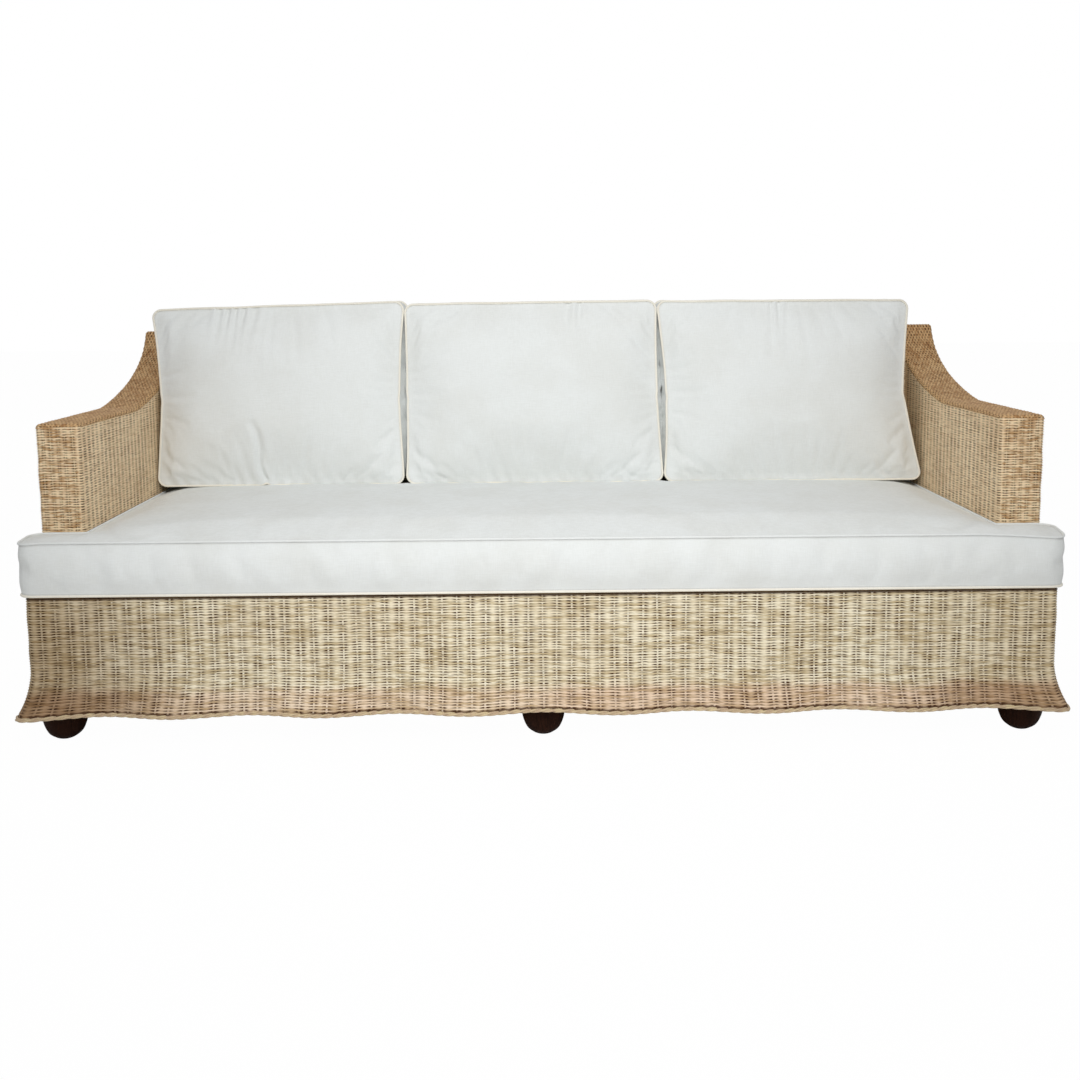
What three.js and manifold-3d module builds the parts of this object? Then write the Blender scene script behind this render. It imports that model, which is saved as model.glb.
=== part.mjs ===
// Rattan garden sofa: a woven skin over a timber frame, six bun feet,
// a T-shaped seat cushion and three loose back cushions with welted seams.
// Millimetres, +Z up, the front faces -Y, origin on the floor under the middle.
import * as THREE from "three";
import { mergeVertices } from "three/addons/utils/BufferGeometryUtils.js";
import Module from "manifold-3d";

const wasm = await Module();
wasm.setup();

// Clearances
const GAP = 0.3; // between pieces that touch
const OVERRUN = 40; // how far a cut runs past the face that it opens

// Body and woven skin
const BODY_WIDTH = 2200;
const BODY_DEPTH = 880;
const SKIN = 7;
const SKIN_EDGE_ROUND = 9;
const SKIN_CORNER_ROUND = 14;

// Feet
const FOOT_HEIGHT = 96;
const FOOT_RADIUS = 47;
const FOOT_REST_RADIUS = 13;
const FOOT_SOLE_RADIUS = 24; // where the sole turns up into the bun
const FOOT_SOLE_HEIGHT = 5;
const FOOT_BOWL_RADIUS = 38;
const FOOT_BOWL_HEIGHT = 18;
const FOOT_WIDEST_HEIGHT = 46;
const FOOT_SHOULDER_RADIUS = 42;
const FOOT_SHOULDER_DROP = 22; // shoulder below the rail
const FOOT_NECK_RADIUS = 31;
const FOOT_OUTSET = 15; // foot from the middle of the side rail, outwards
const FOOT_SETBACK = 19; // foot from the middle of the front or rear rail, inwards
const SPIGOT_RADIUS = 10;
const SPIGOT_HEIGHT = 26;

// Base frame
const BASE_RAIL_WIDTH = 100;
const BASE_RAIL_HEIGHT = 45;
const BEARER_WIDTH = 60;

// Seat frame and deck
const POST_SIDE = 60;
const POST_HEIGHT = 129;
const SEAT_RAIL_HEIGHT = 45;
const SIDE_RAIL_WIDTH = 115;
const REAR_RAIL_WIDTH = 120;
const SEAT_BEARER_PLACE = 340;
const SLAT_THICKNESS = 18;
const SLAT_WIDTH = 95;
const SLATS_BETWEEN_ARMS = 4;
const DECK_LIP = 3; // deck above the top edge of the skirt

// Skirt and hem
const HEM_HEIGHT = 69; // underside of the hem braid over the floor
const BRAID_RADIUS = 5;
const SKIRT_BEND_HEIGHT = 170; // the skirt starts to flare here
const SKIRT_FLARE = 15;
const SKIRT_WAVE = 6;
const FLARE_POWER = 1.5; // above 1 the flare starts softly
const HEM_RISE = 4; // how far the hem lifts between its waves
const LONG_SIDE_WAVES = 7;
const SHORT_SIDE_WAVES = 3;
const STATIONS_PER_WAVE = 4;
const SKIRT_LEVELS = 4;

// Arms and back
const ARM_WIDTH = 97;
const ARM_SETBACK = 105;
const ARM_RISE = 356; // arm top over the deck
const ARM_FLAT = 375; // level length of the arm top
const SWOOP_LEAD = 160; // the sweep rises gently this far
const SWOOP_LEAD_RISE = 27;
const SWOOP_HEEL = 37; // it turns steep this far before its rear end
const SWOOP_HEEL_DROP = 97;
const BACK_RISE = 537; // back top over the deck
const CREST_RUN = 22; // rounding at the rear end of the arm's sweep
const CREST_DROP = 8;
const CREST_REAR_DROP = 22;
const BACK_THICKNESS = 97;
const BACK_SPREAD = 41; // how much thicker the back is at the deck
const ARM_POST_DEPTH = 50;
const FRAME_BOARD = 24;
const STUD_WIDTH = 45;

// Seat cushion
const WELT_RADIUS = 4.4;
const WELT_CLEARANCE = 0.45;
const CUSHION_OVERHANG = 7.6;
const SEAT_BOXING = 116.5; // from seam to seam
const SEAT_CROWN = 17;
const SEAT_UNDERSIDE_CROWN = 3.6;
const EAR_CROWN = 9;
const SEAT_CORNER_ROUND = 34;
const ARM_CLEARANCE = 4;

// Back cushions
const BACK_CUSHIONS = ["left", "centre", "right"];
const BACK_CUSHION_HEIGHT = 466;
const BACK_CUSHION_DEPTH = 141; // seam to seam at the seat
const BACK_CUSHION_TOP_DEPTH = 110;
const BACK_CUSHION_CROWN = 28;
const BACK_CUSHION_REAR_CROWN = 5;
const BACK_CUSHION_CORNER_ROUND = 24;
const BACK_CUSHION_REAR_CLEARANCE = 9;
const BACK_CUSHION_SPACING = 1;
const BACK_CUSHION_SLACK = 14; // room that the row leaves at the right arm
const CUSHION_WAIST = 10; // how far each side of a back cushion draws in
const BOXING_DRAW = 2;
const CURVE_STEPS = 8;
const CORNER_STEPS = 3;
const SIDE_STEPS = 6;
// Crown rings: share of the face, then share of the crown's height
const CROWN_SHARES = [
  [0.35, 0.96],
  [0.65, 0.8],
  [0.88, 0.45],
];

// Heights, stacked from the floor
const baseBottom = FOOT_HEIGHT + GAP;
const baseTop = baseBottom + BASE_RAIL_HEIGHT;
const postBottom = baseTop + GAP;
const postTop = postBottom + POST_HEIGHT;
const seatRailBottom = postTop + GAP;
const seatRailTop = seatRailBottom + SEAT_RAIL_HEIGHT;
const slatBottom = seatRailTop + GAP;
const deck = slatBottom + SLAT_THICKNESS;
const skirtTop = deck - DECK_LIP;
const shellBottom = skirtTop + GAP;
const armTop = deck + ARM_RISE;
const backTop = deck + BACK_RISE;

// Plan places
const sideFace = BODY_WIDTH / 2;
const frontFace = -BODY_DEPTH / 2;
const rearFace = BODY_DEPTH / 2;
const frameSide = sideFace - SKIN - GAP;
const frameFront = frontFace + SKIN + GAP;
const frameRear = rearFace - SKIN - GAP;
const armFront = frontFace + ARM_SETBACK;
const armInner = sideFace - ARM_WIDTH;
const sides = { left: -1, right: 1 };

const materials = {
  rattan: new THREE.MeshStandardMaterial({ color: 0xd6c195, roughness: 0.72, metalness: 0 }),
  armRattan: new THREE.MeshStandardMaterial({ color: 0xc3a273, roughness: 0.7, metalness: 0 }),
  braid: new THREE.MeshStandardMaterial({ color: 0xdcc9a0, roughness: 0.7, metalness: 0 }),
  foot: new THREE.MeshStandardMaterial({ color: 0x2a1a14, roughness: 0.45, metalness: 0 }),
  timber: new THREE.MeshStandardMaterial({ color: 0xa97b4f, roughness: 0.75, metalness: 0 }),
  fabric: new THREE.MeshStandardMaterial({ color: 0xdfe1df, roughness: 0.95, metalness: 0 }),
  welt: new THREE.MeshStandardMaterial({ color: 0xebe7d9, roughness: 0.92, metalness: 0 }),
};

const sofa = new THREE.Group();

function add(name, geometry, material) {
  const mesh = new THREE.Mesh(geometry, material);
  mesh.name = name;
  sofa.add(mesh);
}

// Solids for joining and cutting
function solidOf(geometry) {
  const bare = geometry.clone();
  bare.deleteAttribute("normal");
  bare.deleteAttribute("uv");
  const merged = mergeVertices(bare);
  return new wasm.Manifold(
    new wasm.Mesh({
      numProp: 3,
      vertProperties: merged.attributes.position.array,
      triVerts: new Uint32Array(merged.index.array),
    }),
  );
}

function geometryOf(solid) {
  const mesh = solid.getMesh();
  const geometry = new THREE.BufferGeometry();
  geometry.setAttribute("position", new THREE.BufferAttribute(mesh.vertProperties, 3));
  geometry.setIndex(new THREE.BufferAttribute(mesh.triVerts, 1));
  geometry.computeVertexNormals();
  return geometry;
}

function cut(geometry, ...tools) {
  return geometryOf(tools.reduce((body, tool) => body.subtract(solidOf(tool)), solidOf(geometry)));
}

function join(first, second) {
  return geometryOf(solidOf(first).add(solidOf(second)));
}

// Basic shapes
function box(x0, x1, y0, y1, z0, z1) {
  const geometry = new THREE.BoxGeometry(x1 - x0, y1 - y0, z1 - z0);
  return geometry.translate((x0 + x1) / 2, (y0 + y1) / 2, (z0 + z1) / 2);
}

function mirroredBox(side, near, far, y0, y1, z0, z1) {
  return side < 0 ? box(-far, -near, y0, y1, z0, z1) : box(near, far, y0, y1, z0, z1);
}

// A side outline in (y, z), run across X from x0 to x1
function acrossX(outline, x0, x1) {
  const geometry = new THREE.ExtrudeGeometry(outline, {
    depth: x1 - x0,
    bevelEnabled: false,
    curveSegments: CURVE_STEPS,
  });
  const turn = new THREE.Matrix4().makeBasis(
    new THREE.Vector3(0, 1, 0),
    new THREE.Vector3(0, 0, 1),
    new THREE.Vector3(1, 0, 0),
  );
  return geometry.applyMatrix4(turn).translate(x0, 0, 0);
}

// The same with both end edges rounded; outlineAt(inset) gives the drawn-in outline
function roundedAcrossX(outlineAt, x0, x1, round) {
  const turns = [0, 1, 2].map((step) => (step * Math.PI) / 4);
  const start = turns.map((turn) => [x0 + round * (1 - Math.cos(turn)), round * (1 - Math.sin(turn))]);
  const finish = start.map(([x, inset]) => [x0 + x1 - x, inset]).reverse();
  const rings = [...start, ...finish].map(([x, inset]) =>
    outlineAt(inset).getPoints(CURVE_STEPS).map((p) => new THREE.Vector3(x, p.x, p.y)),
  );
  const flat = rings[0].map((p) => new THREE.Vector2(p.y, p.z));
  return loft(rings, THREE.ShapeUtils.triangulateShape(flat, []).flat());
}

// A closed body through rings of points. With no caps or tips the rings form a loop;
// caps are triangles over one ring, used at both ends, and tips are points to run to
function loft(rings, caps = [], tips = []) {
  const count = rings[0].length;
  const points = rings.flat();
  const faces = [];
  const open = caps.length + tips.length > 0;
  const spans = open ? rings.length - 1 : rings.length;
  const last = spans * count;
  for (let i = 0; i < spans; i++) {
    const here = i * count;
    const next = ((i + 1) % rings.length) * count;
    for (let j = 0; j < count; j++) {
      const k = (j + 1) % count;
      faces.push(here + j, here + k, next + k, here + j, next + k, next + j);
    }
  }
  for (let i = 0; i < caps.length; i += 3) {
    const [a, b, c] = caps.slice(i, i + 3);
    faces.push(a, c, b, last + a, last + b, last + c);
  }
  if (tips.length > 0) {
    points.push(...tips);
    for (let j = 0; j < count; j++) {
      const k = (j + 1) % count;
      faces.push(points.length - 2, k, j, points.length - 1, last + j, last + k);
    }
  }
  if (signedVolume(points, faces) < 0) faces.reverse();
  const geometry = new THREE.BufferGeometry().setFromPoints(points);
  geometry.setIndex(faces);
  geometry.computeVertexNormals();
  return geometry;
}

// Caps for a ring whose second half runs back along its first
function ladderCaps(count) {
  const caps = [];
  for (let j = 0; j < count / 2 - 1; j++) {
    const [a, b, c, d] = [j, j + 1, count - 2 - j, count - 1 - j];
    caps.push(a, b, c, a, c, d);
  }
  return caps;
}

function signedVolume(points, faces) {
  let sum = 0;
  for (let i = 0; i < faces.length; i += 3) {
    const [a, b, c] = [points[faces[i]], points[faces[i + 1]], points[faces[i + 2]]];
    sum += a.dot(new THREE.Vector3().crossVectors(b, c));
  }
  return sum;
}

// Feet, each turned in one with the spigot that holds it in the base rail
function footProfile() {
  const spread = new THREE.SplineCurve([
    new THREE.Vector2(FOOT_REST_RADIUS, 0),
    new THREE.Vector2(FOOT_SOLE_RADIUS, FOOT_SOLE_HEIGHT),
    new THREE.Vector2(FOOT_BOWL_RADIUS, FOOT_BOWL_HEIGHT),
    new THREE.Vector2(FOOT_RADIUS, FOOT_WIDEST_HEIGHT),
    new THREE.Vector2(FOOT_SHOULDER_RADIUS, FOOT_HEIGHT - FOOT_SHOULDER_DROP),
    new THREE.Vector2(FOOT_NECK_RADIUS, FOOT_HEIGHT),
  ]);
  const spigotTop = FOOT_HEIGHT + SPIGOT_HEIGHT;
  return [
    new THREE.Vector2(0, 0),
    ...spread.getPoints(10),
    new THREE.Vector2(SPIGOT_RADIUS, FOOT_HEIGHT),
    new THREE.Vector2(SPIGOT_RADIUS, spigotTop),
    new THREE.Vector2(0, spigotTop),
  ];
}

const footAcross = frameSide - BASE_RAIL_WIDTH / 2 + FOOT_OUTSET;
const footX = { left: -footAcross, centre: 0, right: footAcross };
const footAlong = frameRear - BASE_RAIL_WIDTH / 2 - FOOT_SETBACK;
const footY = { front: -footAlong, rear: footAlong };

function addFeet() {
  for (const [row, y] of Object.entries(footY)) {
    for (const [place, x] of Object.entries(footX)) {
      const foot = new THREE.LatheGeometry(footProfile(), 20).rotateX(Math.PI / 2);
      add("foot_" + row + "_" + place, foot.translate(x, y, 0), materials.foot);
    }
  }
}

// Base frame
function spigotBores(y) {
  return Object.values(footX).map((x) => {
    const height = SPIGOT_HEIGHT + OVERRUN;
    const bore = new THREE.CylinderGeometry(SPIGOT_RADIUS + GAP, SPIGOT_RADIUS + GAP, height, 20);
    return bore.rotateX(Math.PI / 2).translate(x, y, FOOT_HEIGHT + SPIGOT_HEIGHT + GAP - height / 2);
  });
}

function addBaseFrame() {
  const front = frameFront + BASE_RAIL_WIDTH;
  const rear = frameRear - BASE_RAIL_WIDTH;
  const frontRail = box(-frameSide, frameSide, frameFront, front, baseBottom, baseTop);
  const rearRail = box(-frameSide, frameSide, rear, frameRear, baseBottom, baseTop);
  add("base_rail_front", cut(frontRail, ...spigotBores(footY.front)), materials.timber);
  add("base_rail_rear", cut(rearRail, ...spigotBores(footY.rear)), materials.timber);
  for (const [name, side] of Object.entries(sides)) {
    const near = frameSide - BASE_RAIL_WIDTH;
    const rail = mirroredBox(side, near, frameSide, front + GAP, rear - GAP, baseBottom, baseTop);
    add("base_rail_" + name, rail, materials.timber);
  }
  const half = BEARER_WIDTH / 2;
  const bearer = box(-half, half, front + GAP, rear - GAP, baseBottom, baseTop);
  add("base_bearer_centre", bearer, materials.timber);
}

// Seat frame on six short posts
const seatRailFrontInner = frameFront + POST_SIDE;
const seatRailRearInner = frameRear - REAR_RAIL_WIDTH;

function addSeatPosts() {
  const half = POST_SIDE / 2;
  const postX = { left: half - frameSide, centre: 0, right: frameSide - half };
  const postY = { front: frameFront + half, rear: frameRear - half };
  for (const [row, y] of Object.entries(postY)) {
    for (const [place, x] of Object.entries(postX)) {
      const post = box(x - half, x + half, y - half, y + half, postBottom, postTop);
      add("seat_post_" + row + "_" + place, post, materials.timber);
    }
  }
}

function addSeatRails() {
  const rail = (x0, x1, y0, y1) => box(x0, x1, y0, y1, seatRailBottom, seatRailTop);
  const runFront = seatRailFrontInner + GAP;
  const runRear = seatRailRearInner - GAP;
  add("seat_rail_front", rail(-frameSide, frameSide, frameFront, seatRailFrontInner), materials.timber);
  add("seat_rail_rear", rail(-frameSide, frameSide, seatRailRearInner, frameRear), materials.timber);
  for (const [name, side] of Object.entries(sides)) {
    const near = frameSide - SIDE_RAIL_WIDTH;
    const sideRail = mirroredBox(side, near, frameSide, runFront, runRear, seatRailBottom, seatRailTop);
    add("seat_rail_" + name, sideRail, materials.timber);
    const middle = side * SEAT_BEARER_PLACE;
    const half = BEARER_WIDTH / 2;
    add("seat_bearer_" + name, rail(middle - half, middle + half, runFront, runRear), materials.timber);
  }
}

function addSlats() {
  const frontSlat = box(-frameSide, frameSide, frameFront, armFront - GAP, slatBottom, deck);
  add("slat_front", frontSlat, materials.timber);
  const reach = armInner - GAP;
  const rearLimit = backInner(shellBottom) - GAP;
  const pitch = (rearLimit - armFront) / SLATS_BETWEEN_ARMS;
  for (let i = 0; i < SLATS_BETWEEN_ARMS; i++) {
    const rearEdge = rearLimit - i * pitch;
    const slat = box(-reach, reach, rearEdge - SLAT_WIDTH, rearEdge, slatBottom, deck);
    add("slat_" + (SLATS_BETWEEN_ARMS - i), slat, materials.timber);
  }
}

// The inner face of the woven back at height z
function backInner(z) {
  const share = (backTop - z) / (backTop - shellBottom);
  return rearFace - BACK_THICKNESS - BACK_SPREAD * share;
}

// The arm top starts to sweep up here
const swoopStart = armFront + ARM_FLAT;

// The sweep in (y, z), drawn from the level arm up to its rear end
function sweepUp(outline, level, end) {
  outline.bezierCurveTo(
    swoopStart + SWOOP_LEAD,
    level + SWOOP_LEAD_RISE,
    end.x - SWOOP_HEEL,
    end.y - SWOOP_HEEL_DROP,
    end.x,
    end.y,
  );
}

// The same sweep, drawn from its rear end down to the level arm
function sweepDown(outline, level, end) {
  outline.bezierCurveTo(
    end.x - SWOOP_HEEL,
    end.y - SWOOP_HEEL_DROP,
    swoopStart + SWOOP_LEAD,
    level + SWOOP_LEAD_RISE,
    swoopStart,
    level,
  );
}

// Arm side outline in (y, z); inset draws it in from every outer face
function armOutline(inset, bottom) {
  const front = armFront + inset;
  const rear = rearFace - inset;
  const top = armTop - inset;
  const crest = backTop - inset;
  const round = SKIN_CORNER_ROUND;
  const end = new THREE.Vector2(rearFace - CREST_RUN + inset / 2, crest - CREST_DROP);
  const brow = end.x + (CREST_DROP * SWOOP_HEEL) / SWOOP_HEEL_DROP;
  const outline = new THREE.Shape();
  outline.moveTo(front, bottom);
  outline.lineTo(rear, bottom);
  outline.lineTo(rear, crest - CREST_REAR_DROP);
  outline.bezierCurveTo(rear, crest, brow, crest, end.x, end.y);
  sweepDown(outline, top, end);
  outline.lineTo(front + round, top);
  outline.quadraticCurveTo(front, top, front, top - round);
  return outline;
}

// Underside of the bent board below the arm top, along the level arm and at its rear end
const railLine = armTop - SKIN - GAP - SKIN_EDGE_ROUND / 2 - FRAME_BOARD;
const railCrest = backTop - SKIN - CREST_REAR_DROP - 2 * FRAME_BOARD;

function armRailOutline() {
  const front = armFront + SKIN + GAP;
  const rear = frameRear;
  const top = railLine + FRAME_BOARD;
  const outline = new THREE.Shape();
  outline.moveTo(front, railLine);
  outline.lineTo(swoopStart, railLine);
  sweepUp(outline, railLine, new THREE.Vector2(rear, railCrest));
  outline.lineTo(rear, railCrest + FRAME_BOARD);
  sweepDown(outline, top, new THREE.Vector2(rear, railCrest + FRAME_BOARD));
  outline.lineTo(front + SKIN_CORNER_ROUND, top);
  outline.lineTo(front, top - SKIN_CORNER_ROUND);
  return outline;
}

function armSpan(side, near, far) {
  return side < 0 ? [-far, -near] : [near, far];
}

function addArms() {
  for (const [name, side] of Object.entries(sides)) {
    const full = (inset) => armOutline(inset, shellBottom - OVERRUN);
    const outer = roundedAcrossX(full, ...armSpan(side, armInner, sideFace), SKIN_EDGE_ROUND);
    const inside = armOutline(SKIN, shellBottom - 2 * OVERRUN);
    const hollow = acrossX(inside, ...armSpan(side, armInner + SKIN, sideFace - SKIN));
    const below = mirroredBox(
      side,
      armInner - OVERRUN,
      sideFace + OVERRUN,
      armFront - OVERRUN,
      rearFace + OVERRUN,
      shellBottom - 2 * OVERRUN,
      shellBottom,
    );
    add("arm_weave_" + name, cut(outer, hollow, below), materials.armRattan);

    const near = armInner + SKIN + GAP;
    const rail = acrossX(armRailOutline(), ...armSpan(side, near, frameSide));
    add("arm_rail_" + name, rail, materials.timber);

    const postFront = armFront + SKIN + GAP + SKIN_CORNER_ROUND;
    const postRear = postFront + ARM_POST_DEPTH;
    const frontPost = mirroredBox(side, near, frameSide, postFront, postRear, slatBottom, railLine - GAP);
    add("arm_post_front_" + name, frontPost, materials.timber);

    const rearPost = mirroredBox(
      side,
      near,
      frameSide,
      frameRear - ARM_POST_DEPTH,
      frameRear,
      slatBottom,
      backTop,
    );
    const railAndAbove = acrossX(raisedRailOutline(), ...armSpan(side, near - GAP, frameSide + GAP));
    add("arm_post_rear_" + name, cut(rearPost, railAndAbove), materials.timber);
  }
}

// All the space from just under the arm rail upwards
function raisedRailOutline() {
  const lower = railLine - GAP;
  const outline = new THREE.Shape();
  outline.moveTo(swoopStart, lower);
  sweepUp(outline, lower, new THREE.Vector2(frameRear, railCrest - GAP));
  outline.lineTo(frameRear + OVERRUN, railCrest - GAP);
  outline.lineTo(frameRear + OVERRUN, backTop + OVERRUN);
  outline.lineTo(swoopStart, backTop + OVERRUN);
  return outline;
}

// Back section in (y, z)
function backOutline(inset, bottom) {
  const innerTop = rearFace - BACK_THICKNESS + inset;
  const inner = (z) => backInner(z) + inset;
  const rear = rearFace - inset;
  const top = backTop - inset;
  const round = Math.max(SKIN_CORNER_ROUND - inset, GAP);
  const outline = new THREE.Shape();
  outline.moveTo(inner(bottom), bottom);
  outline.lineTo(rear, bottom);
  outline.lineTo(rear, top - round);
  outline.quadraticCurveTo(rear, top, rear - round, top);
  outline.lineTo(innerTop + round, top);
  outline.quadraticCurveTo(innerTop, top, inner(top - round), top - round);
  return outline;
}

function quadOutline(inset, bottom, top) {
  const outline = new THREE.Shape();
  outline.moveTo(backInner(bottom) + inset, bottom);
  outline.lineTo(rearFace - inset, bottom);
  outline.lineTo(rearFace - inset, top);
  outline.lineTo(backInner(top) + inset, top);
  return outline;
}

function addBack() {
  const half = armInner - GAP;
  const outer = acrossX(backOutline(0, shellBottom), -half, half);
  const hollow = acrossX(backOutline(SKIN, shellBottom - OVERRUN), SKIN - half, half - SKIN);
  add("back_weave", cut(outer, hollow), materials.armRattan);

  const inset = SKIN + GAP;
  const railTop = backTop - inset - SKIN_CORNER_ROUND / 2;
  const railBottom = railTop - FRAME_BOARD;
  const reach = half - SKIN - GAP;
  add("back_rail", acrossX(quadOutline(inset, railBottom, railTop), -reach, reach), materials.timber);
  const studX = { left: STUD_WIDTH - reach, centre: STUD_WIDTH / 2, right: reach };
  for (const [place, far] of Object.entries(studX)) {
    const stud = acrossX(quadOutline(inset, slatBottom, railBottom - GAP), far - STUD_WIDTH, far);
    add("back_stud_" + place, stud, materials.timber);
  }
}

// Skirt: four mitred woven panels that flare and wave towards the hem
const skirtBottom = HEM_HEIGHT + 2 * BRAID_RADIUS + GAP;

function wave(share, waves) {
  return -Math.cos(waves * Math.PI * share);
}

// Distance out of the body's face, at a share along the side and a height
function flare(share, waves, z) {
  const drop = Math.max(0, (SKIRT_BEND_HEIGHT - z) / (SKIRT_BEND_HEIGHT - HEM_HEIGHT));
  return (SKIRT_FLARE + SKIRT_WAVE * wave(share, waves)) * drop ** FLARE_POWER;
}

// A point of one side of the skirt; turn 0 is the front, and each turn goes on by one side
function skirtPoint(turn, share, waves, z, inset, endGap) {
  const long = turn % 2 === 0;
  const across = (long ? BODY_WIDTH : BODY_DEPTH) / 2;
  const out = (long ? BODY_DEPTH : BODY_WIDTH) / 2;
  const step = flare(share, waves, z) - inset;
  const along = share * (across + step - endGap);
  const point = new THREE.Vector3(along, -(out + step), z);
  return point.applyAxisAngle(new THREE.Vector3(0, 0, 1), (turn * Math.PI) / 2);
}

function hemLift(share, waves) {
  return (HEM_RISE * (1 - wave(share, waves))) / 2;
}

function skirtSection(turn, share, waves) {
  const low = skirtBottom + hemLift(share, waves);
  const heights = [skirtTop];
  for (let i = 0; i <= SKIRT_LEVELS; i++) {
    heights.push(SKIRT_BEND_HEIGHT + ((low - SKIRT_BEND_HEIGHT) * i) / SKIRT_LEVELS);
  }
  const outer = heights.map((z) => skirtPoint(turn, share, waves, z, 0, GAP));
  const inner = heights.map((z) => skirtPoint(turn, share, waves, z, SKIN, GAP));
  return [...outer, ...inner.reverse()];
}

function addSkirt() {
  ["front", "right", "rear", "left"].forEach((name, turn) => {
    const waves = turn % 2 === 0 ? LONG_SIDE_WAVES : SHORT_SIDE_WAVES;
    const stations = waves * STATIONS_PER_WAVE;
    const rings = [];
    for (let i = 0; i <= stations; i++) {
      rings.push(skirtSection(turn, (2 * i) / stations - 1, waves));
    }
    add("skirt_" + name, loft(rings, ladderCaps(rings[0].length)), materials.rattan);
  });
}

// The braided roll that closes the hem all round
function addHemBraid() {
  const centres = [];
  for (let turn = 0; turn < 4; turn++) {
    const waves = turn % 2 === 0 ? LONG_SIDE_WAVES : SHORT_SIDE_WAVES;
    const stations = waves * STATIONS_PER_WAVE;
    for (let i = 0; i < stations; i++) {
      const share = (2 * i) / stations - 1;
      const z = HEM_HEIGHT + BRAID_RADIUS + hemLift(share, waves);
      centres.push(skirtPoint(turn, share, waves, z, SKIN / 2, 0));
    }
  }
  add("hem_braid", cordLoop(centres, new THREE.Vector3(0, 0, 1), BRAID_RADIUS), materials.braid);
}

// A closed cord of six sides along points; axis lies square to the loop
function cordLoop(points, axis, radius) {
  const count = points.length;
  const rings = points.map((point, i) => {
    const before = points[(i + count - 1) % count];
    const after = points[(i + 1) % count];
    const into = point.clone().sub(before).normalize();
    const onward = after.clone().sub(point).normalize();
    const tangent = into.clone().add(onward).normalize();
    const outward = new THREE.Vector3().crossVectors(tangent, axis).normalize();
    const mitre = 1 / Math.max(tangent.dot(onward), Math.SQRT1_2);
    return [0, 1, 2, 3, 4, 5].map((corner) => {
      const angle = (corner * Math.PI) / 3;
      return point
        .clone()
        .addScaledVector(outward, radius * mitre * Math.cos(angle))
        .addScaledVector(axis, radius * Math.sin(angle));
    });
  });
  return loft(rings);
}

// Cushions: an outline in the seam's plane, its corners rounded, its sides drawn in
function cushionOutline(width, height, round, waist) {
  const points = [];
  const corners = [
    [1, 1],
    [-1, 1],
    [-1, -1],
    [1, -1],
  ];
  corners.forEach(([right, up], quarter) => {
    const centre = new THREE.Vector2(right * (width / 2 - round), up * (height / 2 - round));
    for (let i = 0; i <= CORNER_STEPS; i++) {
      const angle = (quarter + i / CORNER_STEPS) * (Math.PI / 2);
      points.push(new THREE.Vector2(Math.cos(angle), Math.sin(angle)).multiplyScalar(round).add(centre));
    }
    const [nextRight, nextUp] = corners[(quarter + 1) % 4];
    const start = points[points.length - 1].clone();
    const end = new THREE.Vector2(nextRight * (width / 2), nextUp * (height / 2));
    if (up === nextUp) end.x -= nextRight * round;
    else end.y -= nextUp * round;
    for (let i = 1; i < SIDE_STEPS; i++) {
      const share = i / SIDE_STEPS;
      const point = start.clone().lerp(end, share);
      if (up !== nextUp) point.x -= right * waist * Math.sin(Math.PI * share);
      points.push(point);
    }
  });
  return points;
}

function drawIn(points, width, height, inset) {
  const across = 1 - (2 * inset) / width;
  const along = 1 - (2 * inset) / height;
  return points.map((p) => new THREE.Vector2(p.x * across, p.y * along));
}

const notch = 2 * WELT_RADIUS; // bevel at each seam, where the welt lies
const weltInset = (notch - Math.SQRT2 * (WELT_RADIUS + WELT_CLEARANCE)) / 2;

// The stuffed body; place(point, share, offset) sets a point between the two seams
function cushionBody(size, place) {
  const { width, height, crown, rearCrown } = size;
  const faceRings = (share, out) =>
    CROWN_SHARES.map(([scale, rise]) => {
      const inner = drawIn(size.outline, width, height, notch);
      return inner.map((p) => place(p.clone().multiplyScalar(scale), share, out * rise));
    });
  const ring = (inset, share, offset) =>
    drawIn(size.outline, width, height, inset).map((p) => place(p, share, offset));
  const rings = [
    ...faceRings(0, -crown),
    ring(notch, 0, 0),
    ring(0, 0, notch),
    ring(BOXING_DRAW, 1 / 2, 0),
    ring(0, 1, -notch),
    ring(notch, 1, 0),
    ...faceRings(1, rearCrown).reverse(),
  ];
  const middle = new THREE.Vector2(0, 0);
  return loft(rings, [], [place(middle, 0, -crown), place(middle, 1, rearCrown)]);
}

// Seat cushion: the wide front with its ears, joined to the part between the arms
const cushionFront = frontFace - CUSHION_OVERHANG;
const seatSeamLow = deck + GAP + SEAT_UNDERSIDE_CROWN;
const seatSeamHigh = seatSeamLow + SEAT_BOXING;
const seatHalf = armInner - ARM_CLEARANCE;
const earHalf = sideFace + CUSHION_OVERHANG;
const earRear = armFront - ARM_CLEARANCE;
const seatRear = backInner(seatSeamLow) - ARM_CLEARANCE;

function seatPlace(middleY) {
  return (p, share, offset) =>
    new THREE.Vector3(p.x, p.y + middleY, THREE.MathUtils.lerp(seatSeamHigh, seatSeamLow, share) - offset);
}

function seatBody(half, rear, crown) {
  const width = 2 * half;
  const height = rear - cushionFront;
  const outline = cushionOutline(width, height, SEAT_CORNER_ROUND, 0);
  const size = { width, height, outline, crown, rearCrown: SEAT_UNDERSIDE_CROWN };
  return cushionBody(size, seatPlace((rear + cushionFront) / 2));
}

function arc(points, x, y, radius, quarter) {
  for (let i = 0; i <= CORNER_STEPS; i++) {
    const angle = (quarter + i / CORNER_STEPS) * (Math.PI / 2);
    points.push(new THREE.Vector2(x + radius * Math.cos(angle), y + radius * Math.sin(angle)));
  }
}

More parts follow.
